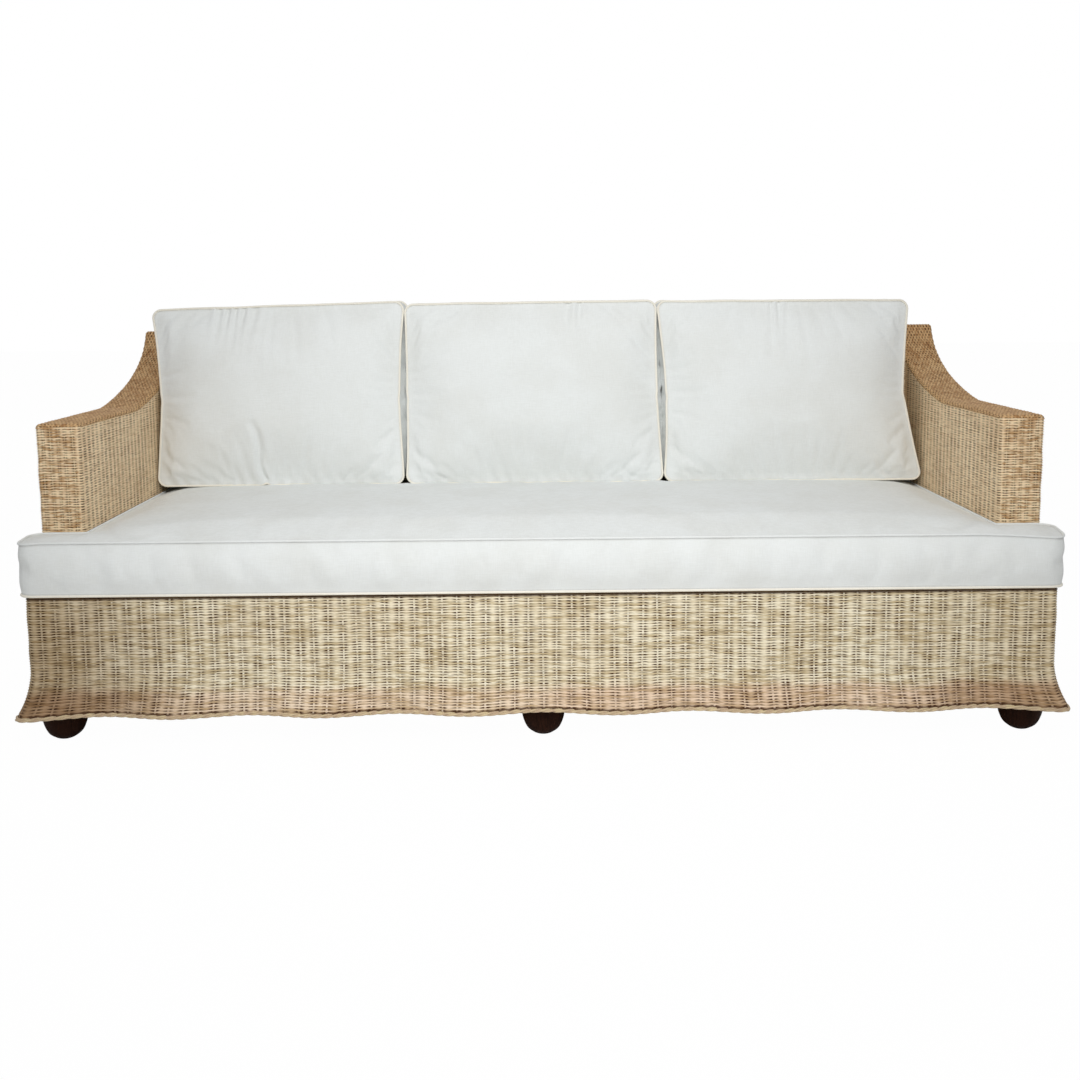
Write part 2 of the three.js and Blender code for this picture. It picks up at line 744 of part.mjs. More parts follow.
// The T-shaped line of a seat welt, from the right ear's rear corner round
function seatWeltLine() {
  const points = [];
  const round = SEAT_CORNER_ROUND - weltInset;
  const step = SEAT_CORNER_ROUND;
  arc(points, earHalf - step, earRear - step, round, 0);
  points.push(new THREE.Vector2(seatHalf - weltInset, earRear - weltInset));
  arc(points, seatHalf - step, seatRear - step, round, 0);
  arc(points, step - seatHalf, seatRear - step, round, 1);
  points.push(new THREE.Vector2(weltInset - seatHalf, earRear - weltInset));
  arc(points, step - earHalf, earRear - step, round, 1);
  arc(points, step - earHalf, cushionFront + step, round, 2);
  arc(points, earHalf - step, cushionFront + step, round, 3);
  return points;
}

function addSeatCushion() {
  const body = join(seatBody(seatHalf, seatRear, SEAT_CROWN), seatBody(earHalf, earRear, EAR_CROWN));
  add("seat_cushion", body, materials.fabric);
  const up = new THREE.Vector3(0, 0, 1);
  const line = seatWeltLine();
  const heights = { top: seatSeamHigh - weltInset, bottom: seatSeamLow + weltInset };
  for (const [name, z] of Object.entries(heights)) {
    const points = line.map((p) => new THREE.Vector3(p.x, p.y, z));
    add("seat_welt_" + name, cordLoop(points, up, WELT_RADIUS), materials.welt);
  }
}

// Back cushions lean on the woven back and stand on the seat cushion's crown
const weltProud = WELT_RADIUS - weltInset;
const backCushionFoot = seatSeamHigh + SEAT_CROWN + GAP + weltProud;

function addBackCushions() {
  const cell = (2 * armInner - BACK_CUSHION_SLACK) / BACK_CUSHIONS.length;
  const width = cell - BACK_CUSHION_SPACING - 2 * weltProud;
  const height = BACK_CUSHION_HEIGHT;
  const outline = cushionOutline(width, height, BACK_CUSHION_CORNER_ROUND, CUSHION_WAIST);
  const size = { width, height, outline, crown: BACK_CUSHION_CROWN, rearCrown: BACK_CUSHION_REAR_CROWN };
  BACK_CUSHIONS.forEach((name, i) => {
    const middleX = (i + 1 / 2) * cell - armInner;
    const place = (p, share, offset) => {
      const rise = p.y + height / 2;
      const z = backCushionFoot + rise;
      const rear = backInner(z) - BACK_CUSHION_REAR_CLEARANCE;
      const front = rear - THREE.MathUtils.lerp(BACK_CUSHION_DEPTH, BACK_CUSHION_TOP_DEPTH, rise / height);
      return new THREE.Vector3(middleX + p.x, THREE.MathUtils.lerp(front, rear, share) + offset, z);
    };
    add("back_cushion_" + name, cushionBody(size, place), materials.fabric);
    const line = drawIn(outline, width, height, weltInset);
    const axis = new THREE.Vector3(0, -1, 0);
    const seams = { front: [0, weltInset], rear: [1, -weltInset] };
    for (const [face, [share, offset]] of Object.entries(seams)) {
      const points = line.map((p) => place(p, share, offset));
      add("back_welt_" + face + "_" + name, cordLoop(points, axis, WELT_RADIUS), materials.welt);
    }
  });
}

addFeet();
addBaseFrame();
addSeatPosts();
addSeatRails();
addSlats();
addArms();
addBack();
addSkirt();
addHemBraid();
addSeatCushion();
addBackCushions();

export default sofa;
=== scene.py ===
"""A rattan garden sofa round its fixed frame: woven skirt, arms and back, braided hem,
turned feet, timber, welted cushions and a plain studio. Metres, +Z up, front to -Y."""

import math

import bmesh
import bpy
import numpy as np
from mathutils import Matrix, Vector
from mathutils.kdtree import KDTree


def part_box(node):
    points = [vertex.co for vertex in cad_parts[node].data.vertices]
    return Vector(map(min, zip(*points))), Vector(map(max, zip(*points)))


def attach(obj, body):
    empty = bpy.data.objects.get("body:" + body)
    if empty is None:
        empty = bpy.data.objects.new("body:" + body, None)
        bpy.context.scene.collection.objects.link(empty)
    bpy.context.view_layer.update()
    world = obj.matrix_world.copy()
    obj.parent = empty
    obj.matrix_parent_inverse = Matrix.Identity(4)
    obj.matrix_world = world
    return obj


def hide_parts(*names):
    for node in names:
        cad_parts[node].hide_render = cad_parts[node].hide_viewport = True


bl_info = {
    "name": "Rattan Garden Sofa",
    "version": (1, 0, 0),
    "blender": (4, 5, 0),
    "location": "View3D > Sidebar > Sofa",
    "description": "Woven skin, cushions, feet and studio for a rattan garden sofa",
    "category": "Object",
}

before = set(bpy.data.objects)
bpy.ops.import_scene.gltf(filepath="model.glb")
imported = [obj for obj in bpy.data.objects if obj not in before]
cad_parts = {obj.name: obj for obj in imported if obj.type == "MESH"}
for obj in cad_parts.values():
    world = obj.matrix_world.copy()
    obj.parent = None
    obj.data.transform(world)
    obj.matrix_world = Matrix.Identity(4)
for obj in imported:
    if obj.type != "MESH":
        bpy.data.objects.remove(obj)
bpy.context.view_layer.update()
MM = 0.001
WELD = 0.02 * MM

# Places read from the frame
ARM_LOW, ARM_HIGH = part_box("arm_weave_right")
ARM_INNER, ARM_FRONT, SHELL_BOTTOM = ARM_LOW
SIDE_FACE, REAR_FACE = ARM_HIGH.x, ARM_HIGH.y
FRONT_FACE = -REAR_FACE
BACK_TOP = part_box("back_weave")[1].z
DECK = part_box("slat_front")[1].z
SKIRT_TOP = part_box("skirt_front")[1].z
HEM_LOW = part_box("hem_braid")[0].z
HALVES = (SIDE_FACE, REAR_FACE)

# Shape of the woven arms and back
SKIN = 7 * MM
EDGE_ROUND = 9 * MM
CORNER_ROUND = 14 * MM
ARM_TOP = DECK + 360 * MM
ARM_LIP = 7 * MM
SWOOP_START = ARM_FRONT + 375 * MM
SWOOP_LEAD = 160 * MM
SWOOP_LEAD_RISE = 24 * MM
SWOOP_HEEL = 37 * MM
SWOOP_HEEL_DROP = 97 * MM
CREST_RUN = 22 * MM
CREST_DROP = 8 * MM
CREST_REAR_DROP = 22 * MM
CREST_TOP = BACK_TOP + 5 * MM
BACK_THICKNESS = 97 * MM
BACK_SPREAD = 41 * MM
JOINT_GAP = 0.3 * MM
INNER_FACE = 10 * MM
SHARP_DEGREES = 40

# Rows and columns of the weave. The arm's stakes stand closer on its inner side and its
# front, and each of its rows that turn in has a share of the height, a rise and an inset.
# The rows under the cap and inside the back and the skirt are at shares of the way.
ARM_STAKE_SHARES = (1, 0.8, 0.55, 1, 1)
ARM_TURN_IN = ((1, 3 * MM, -4 * MM), (1, 0, -SKIN), (0.5, 0, -SKIN), (0, 0, -SKIN))
ARM_LIP_EDGE = 0.2 * MM
INNER_CALM = 0.4
CAP_CALM = 0.4
CAP_THICKNESS = 5 * MM
CAP_UNDER = np.linspace(1, 0, 7)
BACK_INNER = np.linspace(1, 0, 14)
SKIRT_INNER = np.array([1.0, 0.75, 0.4, 0.2, 0.0])

# Relief of the weave, in millimetres, at shares of the way from a stake to the next
COLUMN_STEPS = (0.0, 0.11, 0.3, 0.5, 0.7, 0.89)
OFFSETS = (0, 0.11, 0.3, 0.5)
OVER = (1.3, 1.2, 0.9, 0.2)
UNDER = (-1.0, -2.6, -1.5, -0.3)
UNEVENNESS = 0.7
WANDER = 1.1 * MM
CALM_POWER = 8

# Skirt and hem
BRAID_RADIUS = 5 * MM
BRAID_STEP = 4 * MM
BRAID_LAY = 70 * MM
STRANDS = 3
STRAND_RADIUS = 2.75 * MM
STRAND_OFFSET = 2.35 * MM
STRAND_SIDES = 8
SKIRT_BEND = 170 * MM
SKIRT_FLARE = 15 * MM
SKIRT_WAVE = 6 * MM
FLARE_POWER = 1.5
CORNER_KICK = 18 * MM
KICK_POWERS = (16, 5)
HEM_CORNER = 30 * MM
HEM_RISE = 4 * MM
HEM_TUCK = 4 * MM
HEM_INSET = 2 * MM
WAVES = (7, 3)

# Feet
BUN_KNOTS = np.array([[13, 0], [24, 5], [38, 18], [47, 46], [42, 74], [31, 96]]) * MM
SPIGOT_RADIUS = 10 * MM
SPIGOT_TOP = 122 * MM
FOOT_STEPS = 64
KNOT_STEPS = 8

# Cushions
SEAT_CUSHION_FRONT = FRONT_FACE - 7.6 * MM
SEAT_SEAM_LOW = DECK + 3.9 * MM
SEAT_SEAM_HIGH = SEAT_SEAM_LOW + 116.5 * MM
SEAT_CORNER = 34 * MM
SEAT_CLEARANCE = 4 * MM
SEAT_HALF = ARM_INNER - SEAT_CLEARANCE
EAR_STRETCH = 6 * MM
EAR_HALF = SIDE_FACE + 7.6 * MM + EAR_STRETCH
EAR_REAR = ARM_FRONT - SEAT_CLEARANCE
BACK_CUSHION_HEIGHT = 466 * MM
BACK_CUSHION_DEPTH = 141 * MM
BACK_CUSHION_TOP_DEPTH = 110 * MM
BACK_CUSHION_CORNER = 22 * MM
BACK_CUSHION_CLEARANCE = 9 * MM
BACK_CUSHION_SPACING = 1 * MM
BACK_CUSHION_SLACK = 14 * MM
CUSHION_WAIST = 12 * MM
WELT_INSET = 0.97 * MM
WELT_PROUD = 3.43 * MM
WELT_SIDES = 12
SWEPT_MAP = 100
BACK_CUSHION_FOOT = SEAT_SEAM_HIGH + 17 * MM + JOINT_GAP + WELT_PROUD
BACK_CUSHION_HEAD = BACK_CUSHION_FOOT + BACK_CUSHION_HEIGHT
THREAD = 1.1 * MM
SIDE_STEPS, CORNER_STEPS, SEAT_CORNER_STEPS = 24, 8, 6

# Filling of the cushions
GRIP_START, GRIP_END = 16 * MM, 8 * MM
HOLD_STEP = 2 * MM
BACK_SEAM_STEP, SEAT_SEAM_STEP = 5 * MM, 6 * MM
BACK_GRIP, SEAT_GRIP = (7 * MM, 22 * MM), (9 * MM, 24 * MM)
SEAM_REACH = 60
FILL_FRAMES = 20
BACK_EASE, SEAT_EASE = 0.02, 0.01
SEAT_PRESSURE_SHARE = 0.25
CLOTH = {
    "quality": 5, "mass": 0.3, "tension_stiffness": 15, "compression_stiffness": 15,
    "shear_stiffness": 5, "bending_stiffness": 0.5, "use_pressure": True}

# How far the cloth may swell, in millimetres. On the back cushions it swells by the first
# number anywhere, by the second more below the head and by the third more in the middle,
# and on the seat cushion by the first and, above its foot, by the second more
BACK_SWELL = (0.5, 1.5, 22)
BACK_SWELL_DEPTHS = (12 * MM, 62 * MM)
SEAT_SWELL = (1.5, 10)
SEAT_SWELL_HEIGHTS = (10 * MM, 40 * MM)
SWELL_SIDE, SWELL_END = 40 * MM, 30 * MM
WAIST_SPAN, WAIST_LEFT = (34 * MM, 22 * MM), 2 * MM

# Slump of the seat cushion's ears, left and right, and the rounding of its boxing
EAR_REACH, EAR_DROP = (60 * MM, 200 * MM), (5 * MM, 11 * MM)
EAR_DEPTH, EAR_POWER = 70 * MM, 1.5
STRETCH_REACH = 90 * MM
BOXING_SPAN = (30 * MM, 18 * MM)
BOXING_SWELL, BOXING_POWER = 6, 0.7

# Slump of the back cushions. Each has two edges, left and right, that are moved aside by so
# many millimetres at the foot, the middle and the top, and whose heads rise by its tilts.
LEAN = 7 * MM
TILTS = {"left": (-7, 9), "centre": (2, 6), "right": (4, 2)}
EDGES = {
    "left": ((0, -4, -8), (-15, -10, -6)),
    "centre": ((-14, -25, -9.5), (0, 3, -8)),
    "right": ((-3, -8, -11.5), (13, -17, -8)),
}
FULLNESS = {"left": (0.1, 1), "centre": (0.2, 1), "right": (0.2, 0.1)}
RIPPLE, RIPPLE_SWAY = 1.2 * MM, 0.6
KINK, KINK_HEIGHT, KINK_SPAN, KINK_POWER = 2.5 * MM, 220 * MM, 14 * MM, 9
PINCH, PINCH_PLACE, PINCH_SPAN, PINCH_POWER = 6 * MM, -709 * MM, 9 * MM, 40

# Puckers under the top seams, each between two places across, and creases of the front,
# each from a place (x, z) to another in metres, with its depth in millimetres
PUCKERS = {"left": (-0.866, -0.696), "centre": (0.06, 0.15), "right": (0.60, 0.68)}
PUCKER_DEPTH, PUCKER_PITCH, PUCKER_SHEAR, PUCKER_EDGE = 5 * MM, 27 * MM, 0.12, 30 * MM
PUCKER_START, PUCKER_END, PUCKER_GAIN = 14 * MM, 30 * MM, 2.4
FOOT_FOLD_DEPTH, FOOT_FOLD_PITCH, FOOT_FOLD_REACH = 1.8 * MM, 37 * MM, 26 * MM
CREASES = {
    "left": (((-0.735, 0.64), (-0.709, 0.49), 13.0), ((-0.86, 0.53), (-0.80, 0.49), 4.0)),
    "centre": (((-0.29, 0.55), (-0.24, 0.49), 4.0), ((0.20, 0.52), (0.25, 0.49), 4.0)),
    "right": (((0.40, 0.54), (0.45, 0.49), 4.0), ((0.86, 0.55), (0.90, 0.49), 4.4)),
}
CREASE_BOW = 6 * MM
CREASE_WIDTHS = (13, 6)
CREASE_DEPTHS = (0.45, 1)
CREASE_SIDES, CREASE_SIDE_WIDTH = 0.5, 2.4

# Camera and lamps, in metres and degrees
CAMERA_PLACE = (-0.00925, -2.8699, 0.9586)
CAMERA_PITCH, CAMERA_YAW, CAMERA_ROLL = 6.956, -0.171, -0.528
CAMERA_SHIFT = -0.0926
KEY_PLACE, KEY_TARGET = (0.05, -4.5, 3.5), (0.05, 0, 0.45)
KEY_ANGLE, KEY_SIZE, KEY_STRENGTH = 38, 0.5, 8
NEAR_PLACE, NEAR_TARGET = (0, -1.75, 1.85), (0, 0, 0.45)
NEAR_SIZE, NEAR_STRENGTH = 0.9, 0.2
FLOOR_HALF = 20
FLOOR_WHITE = 0.985


def srgb(red, green, blue):
    """The scene colour of a screen colour given from 0 to 255."""
    shares = [value / 255 for value in (red, green, blue)]
    return tuple(s / 12.92 if s <= 0.04045 else ((s + 0.055) / 1.055) ** 2.4 for s in shares)


def colour_of(name, description, red, green, blue):
    """A colour property."""
    return bpy.props.FloatVectorProperty(
        name=name, description=description, subtype="COLOR", size=3, min=0, max=1,
        default=srgb(red, green, blue))


def length_of(name, description, default):
    """A length property in metres."""
    return bpy.props.FloatProperty(
        name=name, description=description, default=default, min=0, unit="LENGTH", precision=4)


class SofaWeaveSettings(bpy.types.PropertyGroup):
    """Sizes and colours of the woven skin."""

    stake_pitch: length_of("Stake pitch", "Distance between upright stakes", 31 * MM)
    reed_pitch: length_of("Reed pitch", "Height of one woven reed", 2.85 * MM)
    top_reed_pitch: length_of("Top reed pitch", "Width of a reed on the arm tops", 4.1 * MM)
    top_stake_pitch: length_of("Top stake pitch", "Distance between stakes on the arm tops", 9 * MM)
    skirt_reed: colour_of("Skirt reed", "Pale reeds of the skirt", 250, 240, 214)
    skirt_shade: colour_of("Skirt shade", "Darker reeds of the skirt", 208, 190, 152)
    upper_reed: colour_of("Upper reed", "Pale reeds of the arms and back", 252, 229, 192)
    upper_shade: colour_of("Upper shade", "Darker reeds of the arms and back", 196, 154, 106)
    top_reed: colour_of("Top reed", "Pale reeds along the arm tops", 214, 177, 130)
    top_shade: colour_of("Top shade", "Darker reeds along the arm tops", 172, 128, 82)
    stake: colour_of("Stake", "Stakes that show between the reeds", 244, 238, 222)
    upper_stake: colour_of("Upper stake", "The same on the arms and back", 222, 208, 170)
    # The gap colours are painted shade: in the holes and between the reeds, and on the skirt at its
    # foot and under its top edge.
    gap: colour_of("Gap", "Dark gaps beside the stakes", 80, 52, 32)
    top_gap: colour_of("Top gap", "The same along the arm tops", 70, 42, 22)
    braid: colour_of("Braid", "The braided hem", 184, 160, 134)


class SofaCushionSettings(bpy.types.PropertyGroup):
    """Sizes and colours of the cushions."""

    fabric: colour_of("Fabric", "Cushion cloth", 229, 232, 231)
    welt: colour_of("Welt", "Piping along the seams", 238, 234, 222)
    welt_radius: length_of("Welt radius", "Half the thickness of the piping", 2.8 * MM)
    seat_welt_radius: length_of("Seat welt radius", "The same on the seat cushion", 2.7 * MM)
    back_cell: length_of("Back cell", "Cloth cell of the back cushions", 8 * MM)
    seat_cell: length_of("Seat cell", "Cloth cell of the seat cushion", 12 * MM)
    pressure: bpy.props.FloatProperty(
        name="Pressure", description="Pressure of the fill", default=4, min=0, max=20)


class SofaFrameSettings(bpy.types.PropertyGroup):
    """Colours of the feet and the timber."""

    foot: colour_of("Foot", "Dark stain of the feet", 44, 24, 15)
    foot_worn: colour_of("Foot worn", "Stain where it is thin", 30, 16, 10)
    timber: colour_of("Timber", "Pale wood of the frame", 196, 156, 108)
    timber_grain: colour_of("Timber grain", "Dark lines of the grain", 148, 104, 64)


class SofaStageSettings(bpy.types.PropertyGroup):
    """Camera, floor and light."""

    lens: bpy.props.FloatProperty(
        name="Lens", description="Focal length in millimetres", default=39.06, min=10, max=200)
    floor: colour_of("Floor", "Plain pale floor", 250, 250, 250)
    sky: bpy.props.FloatProperty(
        name="Sky", description="Strength of the light all round", default=0.43, min=0, max=2)
    key: bpy.props.FloatProperty(
        name="Key", description="Power of the main lamp", default=58, min=0, max=500)


# Shader nodes

class Wiring:
    """Adds nodes to a tree and links them."""

    def __init__(self, tree):
        self.tree = tree

    def add(self, kind, **values):
        """A new node with its properties set."""
        node = self.tree.nodes.new(kind)
        for name, value in values.items():
            setattr(node, name, value)
        return node

    def put(self, socket, value):
        """Links an output to a socket, or sets the socket's own value."""
        if isinstance(value, bpy.types.NodeSocket):
            self.tree.links.new(value, socket)
        elif socket.type == "RGBA" and len(value) == 3:
            socket.default_value = (*value, 1)
        else:
            socket.default_value = value

    def math(self, operation, first, second=0.0):
        """The result of a Math node."""
        node = self.add("ShaderNodeMath", operation=operation)
        self.put(node.inputs[0], first)
        self.put(node.inputs[1], second)
        return node.outputs[0]

    def times(self, product, *values):
        """The product of values."""
        for value in values:
            product = self.math("MULTIPLY", product, value)
        return product

    def plus(self, total, *values):
        """The sum of values."""
        for value in values:
            total = self.math("ADD", total, value)
        return total

    def left(self, taken):
        """What is left of one."""
        return self.math("SUBTRACT", 1.0, taken)

    def mix(self, share, first, second, blend="MIX"):
        """Two colours mixed by the share of the second."""
        node = self.add("ShaderNodeMix", data_type="RGBA", blend_type=blend)
        for index, value in ((0, share), (6, first), (7, second)):
            self.put(node.inputs[index], value)
        return node.outputs[2]

    def tint(self, share, colour, tint):
        """A colour multiplied by a tint, by a share."""
        return self.mix(share, colour, tint, "MULTIPLY")

    def rise(self, value, span, ends=(0.0, 1.0)):
        """A smooth step from one end to the other while the value crosses a span."""
        node = self.add("ShaderNodeMapRange", interpolation_type="SMOOTHSTEP")
        for socket, number in zip(node.inputs, (value, *span, *ends)):
            self.put(socket, number)
        return node.outputs[0]

    def fall(self, value, span, start=1.0):
        """A smooth step down to nothing."""
        return self.rise(value, span, (start, 0.0))

    def noise(self, place, scale=1.0, detail=2.0, roughness=0.5):
        """Noise from 0 to 1."""
        node = self.add("ShaderNodeTexNoise")
        self.put(node.inputs["Vector"], place)
        self.put(node.inputs["Scale"], scale)
        self.put(node.inputs["Detail"], detail)
        self.put(node.inputs["Roughness"], roughness)
        return node.outputs["Fac"]

    def map_noise(self, u, v, across, along, seed=0.0, scale=1.0, detail=2.0):
        """Noise on a woven map; across and along are how fast it changes with u and v."""
        place = self.joined(self.times(u, across), self.times(v, along), seed)
        return self.noise(place, scale, detail)

    def split(self, vector):
        """The three parts of a vector."""
        node = self.add("ShaderNodeSeparateXYZ")
        self.put(node.inputs[0], vector)
        return node.outputs

    def joined(self, x, y, z):
        """A vector from its three parts."""
        node = self.add("ShaderNodeCombineXYZ")
        for socket, value in zip(node.inputs, (x, y, z)):
            self.put(socket, value)
        return node.outputs[0]

    def scaled(self, place, stretch):
        """A place multiplied axis by axis."""
        node = self.add("ShaderNodeVectorMath", operation="MULTIPLY")
        self.put(node.inputs[0], place)
        self.put(node.inputs[1], stretch)
        return node.outputs[0]

    def group(self, tree, **values):
        """The outputs of a node group with its own values."""
        node = self.add("ShaderNodeGroup", node_tree=tree)
        for name, value in values.items():
            self.put(node.inputs[name], value)
        return node.outputs

    def bump(self, height, distance, strength):
        """A normal bent by a height."""
        node = self.add("ShaderNodeBump")
        self.put(node.inputs["Height"], height)
        self.put(node.inputs["Distance"], distance)
        self.put(node.inputs["Strength"], strength)
        return node.outputs["Normal"]

    def object_place(self):
        """The place on the object, in metres."""
        return self.add("ShaderNodeTexCoord").outputs["Object"]

    def woven_place(self):
        """The place on the woven map."""
        return self.add("ShaderNodeUVMap", uv_map="weave").outputs[0]


def new_group(name, takes, gives):
    """An empty node group with its sockets, its wiring and its two ends."""
    tree = bpy.data.node_groups.new(name, "ShaderNodeTree")
    kinds = {"vector": "NodeSocketVector", "colour": "NodeSocketColor", "value": "NodeSocketFloat"}
    for direction, sockets in (("INPUT", takes), ("OUTPUT", gives)):
        for socket, kind in sockets.items():
            tree.interface.new_socket(name=socket, in_out=direction, socket_type=kinds[kind])
    wiring = Wiring(tree)
    return tree, wiring, wiring.add("NodeGroupInput").outputs, wiring.add("NodeGroupOutput").inputs


def new_material(name, **values):
    """A material with a Principled shader, its wiring and the shader's sockets."""
    material = bpy.data.materials.new(name)
    material.use_nodes = True
    shader = material.node_tree.nodes["Principled BSDF"]
    for socket, value in values.items():
        shader.inputs[socket.replace("_", " ")].default_value = value
    return material, Wiring(material.node_tree), shader.inputs


# The plain weave's colours. Spans across a stake are shares of the stakes' distance, spans
# across a reed are shares of its height, and the other spans are levels of a noise.
SWAY = 1.4
# The holes beside the stakes are painted shade; these spans shape them and set how dark they are.
GAP_STARTS, GAP_ENDS = (0.045, 0.09), (0.12, 0.48)
SLANT_STARTS, SLANT_ENDS = (-0.3, -0.2), (0.15, 0.4)
PATCH_SPAN, PATCH_DEPTHS = (0.36, 0.64), (0.6, 1.0)
OWN_SPAN, OWN_DEPTHS = (0.35, 0.62), (0.6, 1.1)
HOLE_EDGE, HOLE_DEPTHS = (0.25, 0.5), (1.0, 0.7)
STAKE_EDGE, STAKE_STRENGTH, STAKE_SPAN = (0.04, 0.08), 0.8, (0.42, 0.54)
STREAKINESS, SHADE_SPAN, SHADE_CALM_AND_LIGHT = 0.8, (0.42, 0.62), 0.6
REED_EDGE, REED_EDGE_SHADE = (0.3, 0.5), 0.2
ROW_SPAN, ROW_SHADE, ROW_CALM, ROW_BROWN = (0.35, 0.65), (0.1, 0.5), 0.7, 0.4
EDGE_PATCH_SPAN, EDGE_PATCH_SHADE, EDGE_PATCH_REACH = (0.6, 0.72), (0.0, 0.55), (0.0, 0.4)
REED_ROUNDNESS, HOLE_SINKS, FIBRE_RELIEF = 3.2, 0.8, 0.15
REED_ROUGHNESS, HOLE_ROUGHNESS = 0.6, 0.3


def weave_holes(w, given, u, v, stake, reed, lean):
    """Masks of the holes beside the stakes, whose darkness is painted shade, and of the stakes that
    show between them.
    """
    aside = w.math("SUBTRACT", u, stake)
    off = w.math("ABSOLUTE", aside)
    plain = w.times(stake, w.math("LESS_THAN", given["Twine"], 0.5))
    behind = w.math("FLOORED_MODULO", w.plus(plain, reed), 2.0)
    level = w.left(given["Slant"])
    # Seen at a slant on the arms' inner faces, a hole's painted shade lies on one side of its stake
    # only.
    both_sides = w.times(w.rise(off, GAP_STARTS), w.fall(off, GAP_ENDS))
    one_side = w.times(w.rise(aside, SLANT_STARTS), w.fall(aside, SLANT_ENDS))
    beside = w.plus(w.times(both_sides, level), w.times(one_side, given["Slant"]))
    patch = w.map_noise(u, v, across=0.37, along=0.07, seed=2.0)
    own = w.map_noise(stake, reed, across=7.3, along=0.61, seed=11.0, detail=1.0)
    deep = w.times(w.rise(patch, PATCH_SPAN, PATCH_DEPTHS), w.rise(own, OWN_SPAN, OWN_DEPTHS))
    deep = w.times(given["Open"], deep)
    hole = w.times(behind, beside, deep, w.rise(lean, HOLE_EDGE, HOLE_DEPTHS))
    bare = w.times(behind, w.fall(off, STAKE_EDGE), level)
    return w.math("MINIMUM", hole, 1.0), w.times(bare, STAKE_STRENGTH)


def weave_colour(w, given, u, v, stake, reed, lean, bare):
    """The colours of the reeds and the stakes, with painted shade between the reeds, without the
    holes.
    """

    # On the arms' inner faces fewer reeds are darker and the rows less shaded: a calmer tone, and in
    # part painted light that makes those faces paler.
    def calmed_and_lit(value, calm):
        return w.times(value, w.left(w.times(given["Slant"], calm)))

    streak = w.map_noise(u, reed, across=0.45, along=1.73, detail=3.0)
    cloud = w.map_noise(u, v, across=0.3, along=0.04, seed=4.0)
    tone = w.plus(w.times(streak, STREAKINESS), w.times(cloud, 1 - STREAKINESS))
    tone = calmed_and_lit(w.rise(tone, SHADE_SPAN), SHADE_CALM_AND_LIGHT)
    colour = w.mix(tone, given["Reed"], given["Shade"])
    # Painted shade at the edges of each reed, where it meets the next.
    colour = w.mix(w.times(w.rise(lean, REED_EDGE), REED_EDGE_SHADE), colour, given["Gap"])
    # Painted shade along every other row of a twined weave.
    row = w.times(w.math("FLOORED_MODULO", reed, 2.0), given["Twine"])
    row = calmed_and_lit(w.times(row, w.rise(streak, ROW_SPAN, ROW_SHADE)), ROW_CALM)
    colour = w.mix(row, colour, w.mix(ROW_BROWN, given["Shade"], given["Gap"]))
    # Painted shade at the reeds' edges, in patches.
    edge_patch_shade = w.map_noise(u, reed, across=0.8, along=2.3, seed=5.0, detail=1.0)
    edge_patch_shade = w.times(w.rise(edge_patch_shade, EDGE_PATCH_SPAN, EDGE_PATCH_SHADE), w.rise(lean, EDGE_PATCH_REACH))
    colour = w.mix(edge_patch_shade, colour, given["Gap"])
    # A stake that shows is either its own pale colour or a brown of painted shade.
    spot = w.map_noise(stake, v, across=1.7, along=0.4, seed=7.0)
    shaded_stake = w.mix(0.5, given["Shade"], given["Gap"])
    return w.mix(bare, colour, w.mix(w.rise(spot, STAKE_SPAN), shaded_stake, given["Stake"]))


def plain_weave_group():
    """Reeds in and out of stakes, from a map counted in stakes and reeds."""
    takes = {
        "Weave": "vector", "Reed": "colour", "Shade": "colour", "Stake": "colour",
        "Gap": "colour", "Open": "value", "Slant": "value", "Twine": "value"}
    gives = {"Color": "colour", "Height": "value", "Roughness": "value"}
    tree, w, given, result = new_group("Plain weave", takes, gives)
    u, v, _ = w.split(given["Weave"])
    sway = w.map_noise(u, v, across=1.1, along=0.12, seed=9.0, detail=1.0)
    v = w.plus(v, w.times(w.math("SUBTRACT", sway, 0.5), SWAY))
    stake, reed = w.math("ROUND", u), w.math("ROUND", v)
    lean = w.math("ABSOLUTE", w.math("SUBTRACT", v, reed))
    hole, bare = weave_holes(w, given, u, v, stake, reed, lean)
    colour = weave_colour(w, given, u, v, stake, reed, lean, bare)
    # The holes get the gaps' colour as painted shade.
    w.put(result["Color"], w.mix(hole, colour, given["Gap"]))
    height = w.times(w.left(w.times(lean, lean, REED_ROUNDNESS)), w.left(w.times(hole, HOLE_SINKS)))
    fibre = w.map_noise(u, v, across=1.6, along=5.0, seed=1.0, scale=2.0, detail=3.0)
    w.put(result["Height"], w.plus(height, w.times(fibre, FIBRE_RELIEF)))
    w.put(result["Roughness"], w.plus(REED_ROUGHNESS, w.times(hole, HOLE_ROUGHNESS)))
    return tree


# Tints of the weathering
WHITE = (1.0, 1.0, 1.0)
FRESH, WEATHERED = (1.03, 1.04, 1.03), (0.90, 0.86, 0.80)


def weathering_group():
    """Slow changes of tone over the whole piece."""
    takes = {"Color": "colour", "Place": "vector", "Scale": "value", "Amount": "value"}
    tree, w, given, result = new_group("Weathering", takes, {"Color": "colour"})
    cloud = w.noise(given["Place"], given["Scale"], detail=3.0, roughness=0.55)
    shade = w.mix(w.rise(cloud, (0.3, 0.7)), FRESH, WEATHERED)
    w.put(result["Color"], w.tint(given["Amount"], given["Color"], shade))
    return tree


# Stretches of the canvas's slubs, tints, and shares of its relief
SLUB_STRETCHES = ((60.0, 60.0, 900.0), (900.0, 60.0, 60.0))
SLUB_TINT, MOTTLE_TINT = (0.945, 0.943, 0.935), (0.965, 0.96, 0.95)
THREAD_RELIEF, SLUB_RELIEF = 0.17, 0.8


